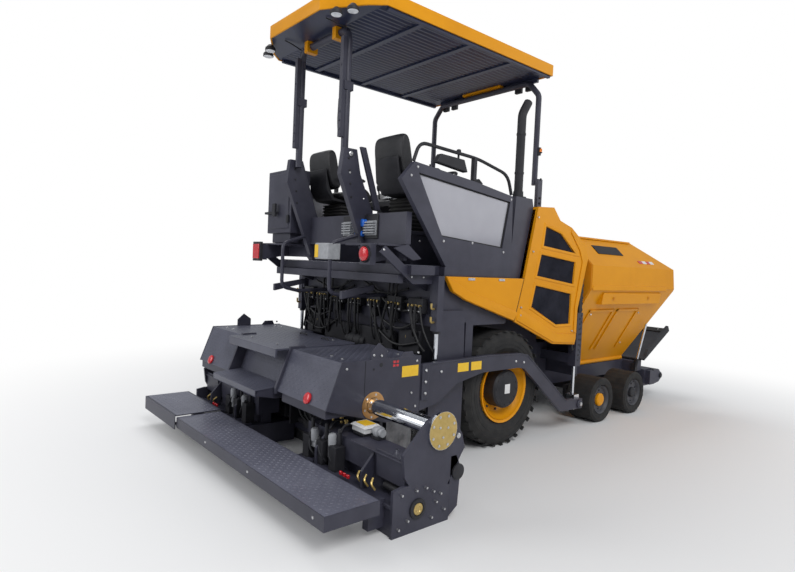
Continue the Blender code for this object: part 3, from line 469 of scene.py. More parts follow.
def canopy():
    rear, front, half, low = ROOF
    lining = Piece("canopy_lining", UNDER, "roof")
    pitch, count = 0.062, 28
    edge = [(-count / 2 * pitch + k * pitch * 0.25,
             low - (0.012 if k % 4 in (1, 2) else 0.004)) for k in range(4 * count + 1)]
    lining.prism([(-half + 0.012, low - 0.001), (-half + 0.012, low - 0.004), *edge, (half - 0.012, low - 0.004),
                  (half - 0.012, low - 0.001)], "X", rear + 0.11, front - 0.17)
    lining.box(front - 0.17, front - 0.012, -half + 0.012, half - 0.012, low - 0.003, low - 0.0005)
    plan = ((rear + 0.11, -half + 0.05), (rear, -half + 0.13), (rear - 0.228, -0.44), (rear - 0.228, 0.44),
            (rear, half - 0.13), (rear + 0.11, half - 0.05))
    lining.prism(plan, "Z", low - 0.01, low - 0.001)
    for x in (-1.1, -0.45, 0.2):
        lining.box(x - 0.03, x + 0.03, -half + 0.02, half - 0.02, low - 0.026, low - 0.008)
    for y in (-half + 0.035, half - 0.035):
        lining.box(rear + 0.15, front - 0.02, y - 0.018, y + 0.018, low - 0.035, low - 0.004)
    lining.box(front - 0.05, front - 0.015, -half + 0.17, half - 0.17, low - 0.05, low - 0.004)
    lining.done(0.002)
    rim = Piece("canopy_valance", ORANGE, "roof")
    plan = ((rear, -half + 0.12), (rear + 0.12, -half), (front, -half), (front, half), (rear + 0.12, half),
            (rear, half - 0.12), (rear - 0.24, 0.45), (rear - 0.24, -0.45))
    wide = [(x + (0.004 if x > 0 else -0.004 if x < rear + 0.01 else 0), y * 1.004) for x, y in plan]
    thin = [(x * 0.992 - (0.003 if x < 0 else -0.003), y * 0.988) for x, y in plan]
    n = len(plan)
    rim.put([M(*p, low - 0.012) for p in wide] + [M(*p, low + 0.108) for p in wide]
            + [M(*p, low + 0.108) for p in thin] + [M(*p, low - 0.012) for p in thin],
            bands(n, 4))
    rim.done(0.003)
    lamps, lenses = Piece("roof_lamps", BLACK, "roof"), Piece("roof_lamp_lenses", LAMP, "roof")
    for side in (-1, 1):
        for x, y in ((-1.84, 0.6), (-1.78, 0.76)):
            lamps.turn(((low - 0.012, 0.02), (low - 0.045, 0.052), (low - 0.075, 0.055)), "Z", (x, side * y), 20)
            lenses.turn(((low - 0.0745, 0.048), (low - 0.079, 0.044), (low - 0.081, 0.02)), "Z", (x, side * y), 20)
        for y in (0.52, 0.67):
            lamps.box(front - 0.06, front - 0.02, side * y - 0.045, side * y + 0.045, low - 0.13, low - 0.045)
            lenses.box(front - 0.021, front - 0.012, side * y - 0.036, side * y + 0.036, low - 0.122, low - 0.055)
    lamps.done(0.004)
    lenses.done()
    wire = Piece("roof_wire", HOSE, "roof")
    for y in (-0.37, 0.37):
        wire.pipe([(-1.8, y, low - 0.02), (-1.72, y * 1.02, low - 0.03), (-1.6, y * 1.08, low - 0.05)], 0.006, 6)
    wire.done()


def posts():
    fix = Piece("post_brackets", BLACK, "posts")
    for side in (-1, 1):
        fix.box(0.735, 0.765, side * 0.872, side * 0.9, 3.1, 3.19)
        fix.turn(((3.125, 0.018), (3.135, 0.018)), "Z", (0.75, side * 0.905), 14)
    fix.done(0.002)
    glow = Piece("post_lamps", AMBER_LENS, "posts")
    for side in (-1, 1):
        glow.turn(((3.135, 0.015), (3.165, 0.015), (3.175, 0.008)), "Z", (0.75, side * 0.905), 14)
    glow.done()
    hoop = Piece("hoop_bars", DARK, "hoop")
    for side in (-1, 1):
        hoop.box(-1.64, -1.6, side * 0.385, side * 0.435, 2.95, 3.86)
        hoop.box(-1.62, -1.52, side * 0.375, side * 0.445, 3.38, 3.46)
        for z in (3.02, 3.1, 3.18, 3.6):
            hoop.bolt(-1.64, side * 0.41, z, "X", -1, 0.011, 0.008)
    hoop.done(0.003)
    wire = Piece("lamp_cable", HOSE, "hoop")
    wire.pipe([(-1.628, -0.372, 3.3), (-1.63, -0.368, 3.1), (-1.62, -0.37, 2.98)], 0.005, 6)
    wire.done()
    plate = Piece("stand_fixings", BLACK)
    for side in (-1, 1):
        for z in (2.56, 2.62, 2.83):
            plate.bolt(0.75, side * 0.922, z, "Y", side, 0.013, 0.012)
    plate.done()


# ------------------------------------------------------------------ seats
def cushion(name, profile, half, centre_y, crown):
    """Crowned pad: an outline in x and z swept across y, fuller in the middle of its width."""
    mesh, steps = bmesh.new(), 12
    rings = []
    cx = sum(p[0] for p in profile) / len(profile)
    cz = sum(p[1] for p in profile) / len(profile)
    for k in range(steps + 1):
        t = -1 + 2 * k / steps
        swell = (1 - abs(t) ** 4) ** 0.5
        scale = 0.72 + 0.28 * swell
        y = centre_y + half * math.sin(t * math.pi / 2) * (0.985 if k in (0, steps) else 1)
        rings.append([mesh.verts.new(M(cx + (x - cx) * scale, y, cz + (z - cz) * scale + crown * swell)) for x,
                      z in profile])
    n = len(profile)
    for a, b in zip(rings, rings[1:]):
        for i in range(n):
            mesh.faces.new((a[i], a[(i + 1) % n], b[(i + 1) % n], b[i]))
    mesh.faces.new(rings[0])
    mesh.faces.new(rings[-1])
    bmesh.ops.recalc_face_normals(mesh, faces=mesh.faces)
    data = bpy.data.meshes.new(name)
    mesh.to_mesh(data)
    mesh.free()
    obj = bpy.data.objects.new(name, data)
    bpy.context.scene.collection.objects.link(obj)
    data.materials.append(LEATHER)
    for face in data.polygons:
        face.use_smooth = True
    smooth = obj.modifiers.new("round", "SUBSURF")
    smooth.levels = smooth.render_levels = 2
    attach(obj, "chassis")
    return obj


def seats():
    for tag, side in SIDES:
        y = side * 0.6
        base = cushion(f"seat_cushion_{tag}",
                       ((-1.07, 2.475), (-0.62, 2.475), (-0.585, 2.52), (-0.61, 2.585), (-0.72, 2.6),
                                                (-0.88, 2.575), (-1.05, 2.585)), 0.225, y, 0.004)
        back = cushion(f"seat_back_{tag}",
                       ((-1.06, 2.585), (-1.155, 2.62), (-1.205, 2.8), (-1.22, 2.96), (-1.19, 3.02),
                                             (-1.13, 3.015), (-1.1, 2.9), (-1.065, 2.74), (-1.03,
                                                                                           2.63)), 0.215, y, 0.0)
        shell = Piece(f"seat_frame_{tag}", BLACK)
        shell.prism(((-1.1, 2.5), (-1.17, 2.62), (-1.215, 2.8), (-1.225, 2.8), (-1.2, 2.58), (-1.12, 2.47),
                     (-0.7, 2.44),
                     (-0.7, 2.47)), "Y", y - 0.17, y + 0.17)
        for rest in (-1, 1):
            shell.prism(((-1.09, 2.72), (-0.8, 2.735), (-0.76, 2.72), (-0.77, 2.7), (-1.09, 2.685)), "Y",
                        y + rest * 0.232, y + rest * 0.278)
        shell.done(0.006)
        bellows = Piece(f"seat_bellows_{tag}", RUBBER)
        fold, low, high = 9, 2.12, 2.44
        rings, faces = [], []
        for k in range(2 * fold + 1):
            z, out = low + (high - low) * k / (2 * fold), 0.0 if k % 2 else 0.022
            rings += [M(-0.84 + sx * (0.165 + out), y + sy * (0.165 + out), z) for sx,
                      sy in ((-1, -1), (1, -1), (1, 1), (-1, 1))]
        for k in range(2 * fold):
            faces += [(4 * k + i, 4 * k + (i + 1) % 4, 4 * k + 4 + (i + 1) % 4, 4 * k + 4 + i) for i in range(4)]
        bellows.put(rings, faces + [(0, 1, 2, 3), tuple(8 * fold + i for i in range(4))])
        bellows.done(0.004)
        plinth = Piece(f"seat_plinth_{tag}", DARK)
        plinth.box(-1.02, -0.66, y - 0.19, y + 0.19, 1.801, 2.12)
        plinth.box(-1.05, -0.6, y - 0.21, y + 0.21, 2.09, 2.125)
        plinth.done(0.006)
        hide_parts(f"seat_{tag}")


# ------------------------------------------------------------------ operator's place
def platform():
    trim = Piece("console_details", BLACK)
    wheel_at = Vector((-0.5, -0.6, 2.7))
    lean = Matrix.Rotation(math.radians(-28), 3, "Y")
    points = [wheel_at + lean @ Vector((0.17 * math.cos(a), 0.17 * math.sin(a), 0)) for a in circle(32)]
    trim.pipe(points + points[:2], 0.014, 8, 0.01)
    for k in (0, 11, 21):
        trim.pipe([wheel_at, points[k]], 0.01, 6)
    trim.pipe([wheel_at, wheel_at + Vector((0.1, 0, -0.17))], 0.028, 12)
    for y in (-0.18, 0.18, 0.52):
        trim.pipe([(-0.4, y, 2.56), (-0.42, y, 2.68)], 0.01, 8)
        trim.turn(((2.66, 0.016), (2.69, 0.024), (2.72, 0.024), (2.73, 0.012)), "Z", (-0.42, y), 14)
    trim.done()
    panel = Piece("console_panels", GREY, slot="black_steel")
    for y0, y1 in ((-0.38, -0.22), (-0.1, 0.1), (0.24, 0.4)):
        panel.prism(((-0.46, 2.552), (-0.14, 2.716), (-0.145, 2.724), (-0.465, 2.56)), "Y", y0, y1)
    panel.done(0.003)
    screen = Piece("console_screen", GLASS)
    screen.prism(((-0.2, 2.72), (-0.12, 2.9), (-0.09, 2.89), (-0.16, 2.71)), "Y", -0.16, 0.16)
    screen.done(0.004)
    rail = Piece("sidewall_rails", BLACK)
    for side in (-1, 1):
        y = side * 1.145
        rail.pipe([(-1.36, y, 2.69), (-1.3, y, 2.86), (-0.55, y, 2.83), (-0.1, y, 2.74), (-0.03, y, 2.55)], 0.016, 8,
                  0.1)
        rail.box(-0.62, -0.58, y - 0.02, y + 0.02, 2.62, 2.83)
    rail.done()
    for tag, side in SIDES:
        hood = Piece(f"sidewall_pad_{tag}", BLACK)
        hood.prism(((-1.1, 2.72), (-1.05, 2.8), (-0.75, 2.79), (-0.7, 2.68)), "Y", side * 1.1, side * 1.165)
        hood.turn(((2.79, 0.01), (2.84, 0.01), (2.85, 0.022), (2.875, 0.022), (2.88, 0.012)), "Z",
                  (-0.8, side * 1.13), 14)
        hood.done(0.008)
        seal = Piece(f"window_seal_{tag}", RUBBER)
        window = ((-1.314, 2.595), (-0.067, 2.475), (-0.158, 2.008), (-1.001, 2.071))
        cx, cz = -0.635, 2.29
        inner = [(cx + (x - cx) * 0.978, cz + (z - cz) * 0.955) for x, z in window]
        points = [M(x, side * y, z) for y in (1.1505, 1.158) for ring in (window, inner) for x, z in ring]
        seal.put(points, flat_ring(4))
        seal.done()
        fixing = Piece(f"sidewall_bolts_{tag}", BOLT)
        for x, z in ((-1.33, 2.64), (-0.06, 2.5), (-0.98, 2.03), (-0.14, 1.97), (-1.4, 2.56), (-0.6, 2.035)):
            fixing.bolt(x, side * 1.17, z, "Y", side, 0.012, 0.007)
        fixing.done()
    # The deck edge's tread colour carries the painted sheen of a lit top face.
    grip = Piece("deck_edge", TREAD_SHEEN)
    grip.box(-1.349, -0.1, -1.1, 1.1, 1.8005, 1.806)
    grip.done()


def rear_panel():
    """Fascia with its sockets and vents, tail lamps, control box, brackets and the left cabinet."""
    x = -1.3705
    steel = Piece("fascia_vents", GREY)
    for y in (-0.27, -0.62):
        for k in range(5):
            z = 2.075 + 0.024 * k
            steel.box(x - 0.05, x - 0.02, y - 0.075, y + 0.075, z, z + 0.013)
        steel.box(x - 0.02, x, y - 0.085, y + 0.085, 2.06, 2.195)
    steel.done(0.002)
    plate = Piece("fascia_plate", BLACK)
    plate.box(x - 0.012, x, -0.72, -0.17, 2.03, 2.25)
    for z in (2.08, 2.17):
        plate.turn(((x, 0.04), (x - 0.02, 0.04), (x - 0.022, 0.034)), "X", (-0.45, z), 20)
    plate.done(0.003)
    for name, material, low in (("socket_caps_upper", WHITE, 2.17), ("socket_caps_lower", BLUE, 2.08)):
        cap = Piece(name, material)
        for y in (-0.475, -0.415):
            cap.turn(((x - 0.01, 0.028), (x - 0.03, 0.028), (x - 0.034, 0.02)), "X", (y, low), 18)
        cap.done()
    blues = Piece("socket_caps_blue", BLUE)
    blues.turn(((x - 0.012, 0.036), (x - 0.05, 0.036), (x - 0.055, 0.028)), "X", (-0.53, 2.175), 18)
    blues.turn(((x - 0.012, 0.03), (x - 0.045, 0.03), (x - 0.05, 0.022)), "X", (-0.5, 2.075), 18)
    blues.done()
    right = Piece("tail_lamp_r", RED)
    right.turn(((-1.7, 0.062), (-1.722, 0.06), (-1.732, 0.045), (-1.735, 0.02)), "X", (-0.97, 1.88), 28)
    right.done()
    ring = Piece("tail_lamp_rings", BLACK)
    ring.turn(((-1.69, 0.074), (-1.715, 0.074), (-1.718, 0.066), (-1.7, 0.064)), "X", (-0.97, 1.88), 28)
    ring.box(-1.735, -1.7, 0.885, 1.055, 1.775, 1.985)
    ring.done(0.004)
    left = Piece("tail_lamp_l", RED)
    left.box(-1.745, -1.734, 0.9, 1.04, 1.8, 1.96)
    left.done(0.004)
    grey = Piece("control_box", GREY, slot="black_steel")
    grey.box(-1.74, -1.6, -0.46, -0.24, 1.82, 1.97)
    grey.done(0.008)
    label = Piece("control_box_plate", YELLOW)
    label.box(-1.745, -1.739, -0.3, -0.245, 1.835, 1.955)
    label.done(0.002)
    sheet = Piece("rear_brackets", DARK)
    for side in (-1, 1):
        low, high = side * 1.1, side * 1.12
        outline = [(-1.66, 1.9), (-1.6, 1.955), (-1.38, 1.8), (-1.00, 1.7), (-1.00, 1.64), (-1.28, 1.635)]
        sheet.prism(outline, "Y", low, high)
        sheet.prism([(x + 0.01, z + 0.2) for x, z in ((-1.52, 1.74), (-1.36, 1.78), (-1.2, 1.66), (-1.3, 1.64))],
                    "Y", low, high)
        sheet.box(-1.62, -1.36, side * 0.56, side * 1.09, 1.955, 1.975)
        # rear stay of the arm
        sheet.prism([(-1.3, 2.3), (-1.24, 2.3), (-1.44, 2.86), (-1.5, 2.86)], "Y", side * 0.545, side * 0.575)
        # step under the deck
        sheet.prism([(-1.69, 1.54), (-1.33, 1.6), (-1.33, 1.55), (-1.69, 1.47)], "Y", side * 0.6, side * 0.64)
    sheet.box(-1.42, -1.36, -1.08, 1.08, 1.64, 1.715)
    sheet.done(0.003)
    case = Piece("left_cabinet", DARK)
    case.box(-1.535, -1.31, 0.6, 1.12, 2.09, 2.775)
    case.box(-1.545, -1.53, 0.64, 1.08, 2.14, 2.74)
    case.box(-1.5, -1.33, 0.66, 1.06, 1.985, 2.095)
    case.done(0.008)
    hinge = Piece("cabinet_fittings", BLACK)
    hinge.box(-1.585, -1.535, 0.86, 1.1, 2.3, 2.325)
    hinge.box(-1.6, -1.575, 0.84, 0.9, 2.27, 2.41)
    for z in (2.24, 2.66):
        hinge.box(-1.56, -1.54, 0.62, 0.66, z - 0.04, z + 0.04)
    for side in (-1, 1):
        for z in (2.4, 2.52, 2.64, 2.75):
            hinge.bolt(-1.6 + (2.84 - z) * 0.12, side * 0.455, z, "Y", -side, 0.012, 0.008)
            hinge.bolt(-1.6 + (2.84 - z) * 0.12, side * 0.515, z, "Y", side, 0.012, 0.008)
    hinge.done(0.002)
    bright = Piece("arm_fixings", BOLT)
    for side in (-1, 1):
        bright.turn(((0.515, 0.024), (0.527, 0.024), (0.533, 0.014)), "Y", (-1.57, 2.79), 14, side)
        for x, z in ((-1.57, 2.62), (-1.4, 2.4), (-1.24, 2.1), (-1.2, 1.9)):
            bright.bolt(x, side * 0.515, z, "Y", side, 0.01, 0.007)
        for x, z in ((-1.62, 1.92), (-1.3, 1.7), (-1.03, 1.67), (-1.16, 1.7)):
            bright.bolt(x, side * 1.12, z, "Y", side, 0.01, 0.007)
    for y in (-1.05, -0.8, 0.4):
        for z in (2.02, 2.22):
            bright.bolt(x, y, z, "X", -1, 0.009, 0.006)
    bright.done()


# ------------------------------------------------------------------ hoses and valves under the deck
def hoses():
    tube, brass = Piece("hydraulic_hoses", HOSE), Piece("hose_fittings", BRASS)
    valve = Piece("valve_blocks", BLACK)
    steel = Piece("valve_ports", BOLT)
    base = -0.995

    def back(depth):
        """Station this far behind the rear wall, kept out of the lifted screed's way."""
        return base - 0.4 * depth

    for i, y in enumerate((-0.92, -0.62, -0.3, 0.02, 0.34, 0.66, 0.94)):
        valve.box(back(0.17), base, y - 0.1, y + 0.1, 1.36, 1.5)
        valve.turn(((1.36, 0.042), (1.28, 0.042), (1.27, 0.03)), "Z", (base - 0.045, y), 16)
        for k in range(4):
            at = y - 0.075 + 0.05 * k
            brass.turn(((back(0.17), 0.013), (back(0.215), 0.013)), "X", (at, 1.43), 6)
            drop, swing, out = rng.uniform(0.0, 0.2), rng.uniform(-0.22, 0.22), rng.uniform(0.0, 0.07)
            end = (back(0.05 + 0.03 * (k % 2)), at + swing, 1.02 + 0.06 * ((i + k) % 3))
            tube.pipe([(back(0.18), at, 1.43), (back(0.2) - 0.2 * out, at + swing * 0.1, 1.425),
                       (back(0.2) - 0.2 * out, at + swing * 0.4, 1.3 - drop),
                       (back(0.15), at + swing * 0.8, 1.16 - drop), end], 0.009 + 0.004 * (k % 2), 8, 0.08)
        steel.box(back(0.182), back(0.17), y - 0.09, y + 0.09, 1.375, 1.385)
    for side in (-1, 1):
        for k, (y0, y1, z0, z1) in enumerate(((0.1, 0.95, 1.56, 1.5), (0.2, 1.02, 1.6, 1.42), (0.05, 0.8, 1.64, 1.58),
                                              (0.3, 1.00, 1.2, 1.1), (0.45, 0.98, 1.26, 1.3))):
            x = back(0.06 + 0.03 * k)
            tube.pipe([(x, side * y0, z0), (x - 0.005, side * (y0 + y1) / 2, min(z0, z1) - 0.09),
                       (x, side * y1, z1)], 0.012, 8, 0.22)
        for k in range(3):
            x = back(0.04 + 0.03 * k)
            tube.pipe([(back(0.03), side * (0.5 + 0.07 * k), 1.66), (x - 0.02, side * (0.5 + 0.07 * k), 1.6),
                       (x - 0.03, side * (0.48 + 0.07 * k), 1.36), (back(0.04), side * (0.52 + 0.07 * k),
                                                                    1.24)], 0.01, 8, 0.1)
        brass.turn(((1.05, 0.016), (1.11, 0.016), (1.115, 0.022), (1.14, 0.022)), "Z", (back(0.06), side * 0.78), 8)
        brass.turn(((1.05, 0.016), (1.11, 0.016), (1.115, 0.022), (1.14, 0.022)), "Z", (back(0.06), side * 0.25), 8)
    tube.done()
    brass.done()
    valve.done(0.005)
    steel.done()
    drums = Piece("auger_motors", BLACK)
    for side in (-1, 1):
        drums.turn(((0.0, 0.1), (0.1, 0.1), (0.11, 0.085), (0.16, 0.085)), "Y", (-0.995, 0.98), 20, side)
    drums.box(-1.045, -0.992, -0.6, 0.6, 0.96, 1.16)
    for side in (-1, 1):
        drums.box(-1.04, -0.992, side * 0.68, side * 0.98, 0.98, 1.2)
    drums.done(0.008)


# ------------------------------------------------------------------ bodywork details
def bodywork():
    """Raised bands, seams, bolts and hinges on the hood and the side lids."""
    crease = ((0.045, 1.285), (0.1, 1.37), (-0.62, 1.575), (-0.8, 1.655), (-0.956, 1.715), (-0.86, 1.58),
              (-0.685, 1.5))
    for tag, side in SIDES:
        band = Piece(f"lid_band_{tag}", ORANGE, f"side_lid_{tag}")
        band.prism(crease, "Y", side * 1.2, side * 1.208, 0.02)
        band.done(0.004)
        hinge = Piece(f"lid_hinges_{tag}", BOLT, f"side_lid_{tag}")
        for x in (-0.62, -0.18):
            hinge.box(x - 0.045, x + 0.045, side * 1.2005, side * 1.206, 1.685, 1.708)
        for x, z in ((-0.35, 1.46), (0.02, 1.36)):
            hinge.bolt(x, side * 1.2, z, "Y", side, 0.012, 0.006)
        hinge.done()
        low = Piece(f"hood_band_{tag}", ORANGE)
        low.prism(((0.075, 1.29), (0.745, 1.025), (1.165, 0.995), (1.185, 1.05), (1.165, 1.1), (0.8, 1.12),
                   (0.12, 1.41)), "Y",
                  side * 1.2, side * 1.212, 0.03)
        low.done(0.005)
        edge = Piece(f"hood_edge_{tag}", ORANGE)
        edge.prism(((1.19, 1.1), (1.19, 1.38), (1.355, 1.985), (1.3, 2.095), (1.00, 2.285), (0.98, 2.25),
                    (1.17, 2.06),
                    (1.24, 1.93), (1.135, 1.42), (1.135, 1.12)), "Y", side * 1.2, side * 1.211, 0.01)
        edge.done(0.005)
        fix = Piece(f"hood_bolts_{tag}", BOLT)
        for x, z in ((0.145, 1.42), (0.36, 2.36), (0.3, 2.0), (0.14, 1.34), (1.1, 1.14)):
            fix.bolt(x, side * 1.2, z, "Y", side, 0.011, 0.016)
        fix.done()
        frame = Piece(f"vent_frames_{tag}", ORANGE)
        for vent in VENTS:
            n = len(vent)
            cx, cz = sum(p[0] for p in vent) / n, sum(p[1] for p in vent) / n
            out = [(x + math.copysign(0.014, x - cx), z + math.copysign(0.014, z - cz)) for x, z in vent]
            points = [M(x, side * y, z) for y in (1.199, 1.206) for ring in (out, vent) for x, z in ring]
            frame.put(points, flat_ring(n))
        frame.done(0.002)
    seam = Piece("hood_seam", BLACK)
    for side in (-1, 1):
        seam.prism(((0.045, 1.283), (0.056, 1.283), (0.186, 1.72), (0.178, 1.72)), "Y", side * 1.165, side * 1.197)
    seam.done()
    latch = Piece("hood_top", DARK)
    latch.box(0.42, 0.6, -0.55, 0.55, 2.484, 2.5)
    latch.box(0.1, 0.3, -0.8, 0.8, 2.551, 2.562)
    latch.done(0.004)
    stack = Piece("muffler_details", BLACK)
    stack.turn(((2.551, 0.085), (2.562, 0.085), (2.564, 0.055), (2.62, 0.052)), "Z", (0.2, -1.05), 24)
    for z in (2.8, 3.2):
        stack.turn(((z, 0.049), (z + 0.02, 0.049)), "Z", (0.2, -1.05), 20)
    stack.done()
    column = Piece("hopper_column", BLACK)
    for side in (-1, 1):
        column.box(1.24, 1.3, side * 1.14, side * 1.2, 1.342, 1.95)
        for k in range(16):
            column.box(1.292, 1.306, side * 1.175, side * 1.203, 0.8 + 0.07 * k, 0.83 + 0.07 * k)
        column.pipe([(1.2, side * 1.17, 1.05), (1.14, side * 1.19, 0.98), (1.17, side * 1.18, 0.9),
                     (1.23, side * 1.17, 0.94)], 0.012, 8, 0.05)
    column.done(0.003)


# ------------------------------------------------------------------ hopper
def hopper():
    for tag, side in SIDES:
        body = f"wing_{tag}"
        out = Piece(f"wing_plates_{tag}", ORANGE, body)
        slope = lambda z: 0.7 + (z - 0.61) * (1.235 - 0.7) / (1.6 - 0.61)
        for x0, x1, z0, z1 in ((1.62, 2.2, 0.8, 1.36), (2.28, 2.84, 0.8, 1.36)):
            for a0, a1, b0, b1 in ((x0, x1, z1 - 0.03, z1), (x0, x0 + 0.03, z0, z1), (x1 - 0.03, x1, z0, z1)):
                ring = []
                for z in (b0, b1):
                    y = slope(z)
                    ring += [(a0, y, z), (a1, y, z), (a1, y + 0.014, z - 0.006), (a0, y + 0.014, z - 0.006)]
                out.put([M(x, side * y, z) for x, y, z in ring],
                        [(0, 1, 2, 3), (4, 5, 6, 7), (0, 1, 5, 4), (1, 2, 6, 5), (2, 3, 7, 6), (3, 0, 4, 7)])
        out.prism([(side * y, z) for y, z in ((1.205, 1.44), (1.212, 1.43), (1.236, 1.565), (1.228, 1.575))], "X",
                  1.7, 3.2)
        out.prism([(side * y, z) for y, z in ((1.249, 1.6), (1.256, 1.605), (1.256, 1.66), (1.249, 1.665))], "X",
                  1.42, 3.3)
        out.prism([(side * y, z) for y, z in ((0.9, 2.238), (0.91, 2.25), (0.93, 2.246), (0.93, 2.225))], "X", 1.42,
                  2.84)
        out.done(0.003)
        # Painted shade: the slot patches take the darker orange copy, standing in for the shade inside the openings.
        slots = Piece(f"wing_slots_{tag}", SHADED_ORANGE, body)
        for x in (1.95, 2.85):
            slots.box(x - 0.02, x + 0.02, side * 1.235, side * 1.2365, 1.49, 1.52)
        slots.done()
        strip = Piece(f"wing_reflectors_{tag}", RED, body)
        pale = Piece(f"wing_reflector_gaps_{tag}", WHITE, body)
        face = lambda t: (1.25 + (0.9 - 1.25) * t, 1.9 + (2.24 - 1.9) * t)
        for k in range(4):
            x = 2.62 + 0.1 * k
            (y0, z0), (y1, z1) = face(0.16), face(0.26)
            ring = [(side * y0, z0), (side * y1, z1), (side * (y1 + 0.004), z1 + 0.004),
                    (side * (y0 + 0.004), z0 + 0.004)]
            (strip if k % 2 == 0 else pale).prism(ring, "X", x, x + 0.1)
        strip.done()
        pale.done()
        badge = Piece(f"wing_blank_plate_{tag}", BLACK, body)
        (y0, z0), (y1, z1) = face(0.42), face(0.72)
        badge.prism([(side * y0, z0), (side * y1, z1), (side * (y1 + 0.006), z1 + 0.006),
                     (side * (y0 + 0.006), z0 + 0.006)], "X", 1.75, 2.35)
        badge.done(0.002)
        nuts = Piece(f"wing_bolts_{tag}", BOLT, body)
        for x in (1.7, 2.3, 2.9):
            for z in (0.86, 1.3):
                nuts.bolt(x, side * (slope(z) + 0.002), z, "Y", side, 0.013, 0.012)
        nuts.done()
        ram = Piece(f"wing_ram_barrel_{tag}", BLACK)
        ram.pipe([(3.24, side * 0.905, 0.5), (3.24, side * 0.935, 0.62)], 0.03, 14)
        ram.box(3.21, 3.27, side * 0.86, side * 0.93, 0.44, 0.55)
        ram.done()
        rod = Piece(f"wing_ram_rod_{tag}", CHROME, body)
        rod.pipe([(3.24, side * 0.93, 0.6), (3.24, side * 1.035, 1.13)], 0.016, 12)
        rod.done()
    # Painted shade: the inner bulkhead wall takes the darker orange copy.
    wall = Piece("hopper_bulkhead", SHADED_ORANGE, smooth=False)
    cover = Piece("hopper_back_cover", DARK, smooth=False)
    wall.box(1.3935, 1.398, -0.66, 0.66, 0.92, 1.95)
    for side in (-1, 1):
        wall.prism([(side * y, z) for y, z in ((0.0, 1.945), (1.12, 1.945), (1.12, 1.42), (1.232, 1.605),
                                               (1.248, 1.635), (1.248, 1.898),
                                               (0.9, 2.236), (0.0, 2.236))], "X", 1.376, 1.392)
        wall.prism([(side * y, z) for y, z in ((0.66, 0.6), (0.7, 0.6), (1.115, 1.4), (1.115, 1.95), (0.66, 1.95))],
                   "X", 1.3935, 1.398)
    wall.done(0.002)
    for side in (-1, 1):
        cover.box(1.362, 1.3745, side * 0.6, side * 1.12, 0.6, 1.6)
    cover.done(0.002)
    slats = Piece("conveyor_slats", STEEL)
    for k in range(34):
        x = -0.5 + 0.112 * k
        for y0, y1 in ((-0.63, -0.03), (0.03, 0.63)):
            slats.prism(((x, 0.502), (x + 0.04, 0.502), (x + 0.032, 0.522), (x + 0.008, 0.522)), "Y", y0, y1)
    for y in (-0.02, 0.0, 0.02):
        slats.box(-0.55, 3.28, y - 0.006, y + 0.006, 0.5015, 0.524)
    slats.done(0.002)
    front = Piece("beam_details", BLACK)
    for side in (-1, 1):
        front.box(3.6, 3.64, side * 0.6, side * 0.8, 0.441, 0.452)
        for y in (0.3, 0.8):
            for z in (0.26, 0.38):
                front.bolt(3.721, side * y, z, "X", 1, 0.016, 0.012)
        front.turn(((0.985, 0.035), (1.000, 0.035), (1.004, 0.02)), "Y", (3.88, 0.33), 18, side)
        front.pipe([(3.3, side * 0.84, 0.5), (3.5, side * 0.86, 0.62), (3.6, side * 0.8, 0.5)], 0.016, 8, 0.08)
    front.box(3.4, 3.44, -0.8, 0.8, 0.43, 0.5)
    front.done(0.003)
    lip = Piece("apron_edge", RUBBER, "apron")
    along, up = Vector((math.cos(math.radians(28)),
                        math.sin(math.radians(28)))), Vector((-math.sin(math.radians(28)),
                                                              math.cos(math.radians(28))))
    at = Vector((3.36, 0.6))
    lip.prism([tuple(at + along * a + up * b) for a,
               b in ((0.74, 0.012), (0.838, 0.012), (0.838, 0.03), (0.74, 0.03))], "Y", -0.94, 0.94)
    lip.done(0.003)
    pads = Piece("apron_bolts", BOLT, "apron")
    for k in range(9):
        spot = at + along * 0.79 + up * 0.03
        pads.turn(((spot.y, 0.014), (spot.y + 0.01, 0.014)), "Z", (spot.x, -0.84 + 0.21 * k), 8)
    pads.done()


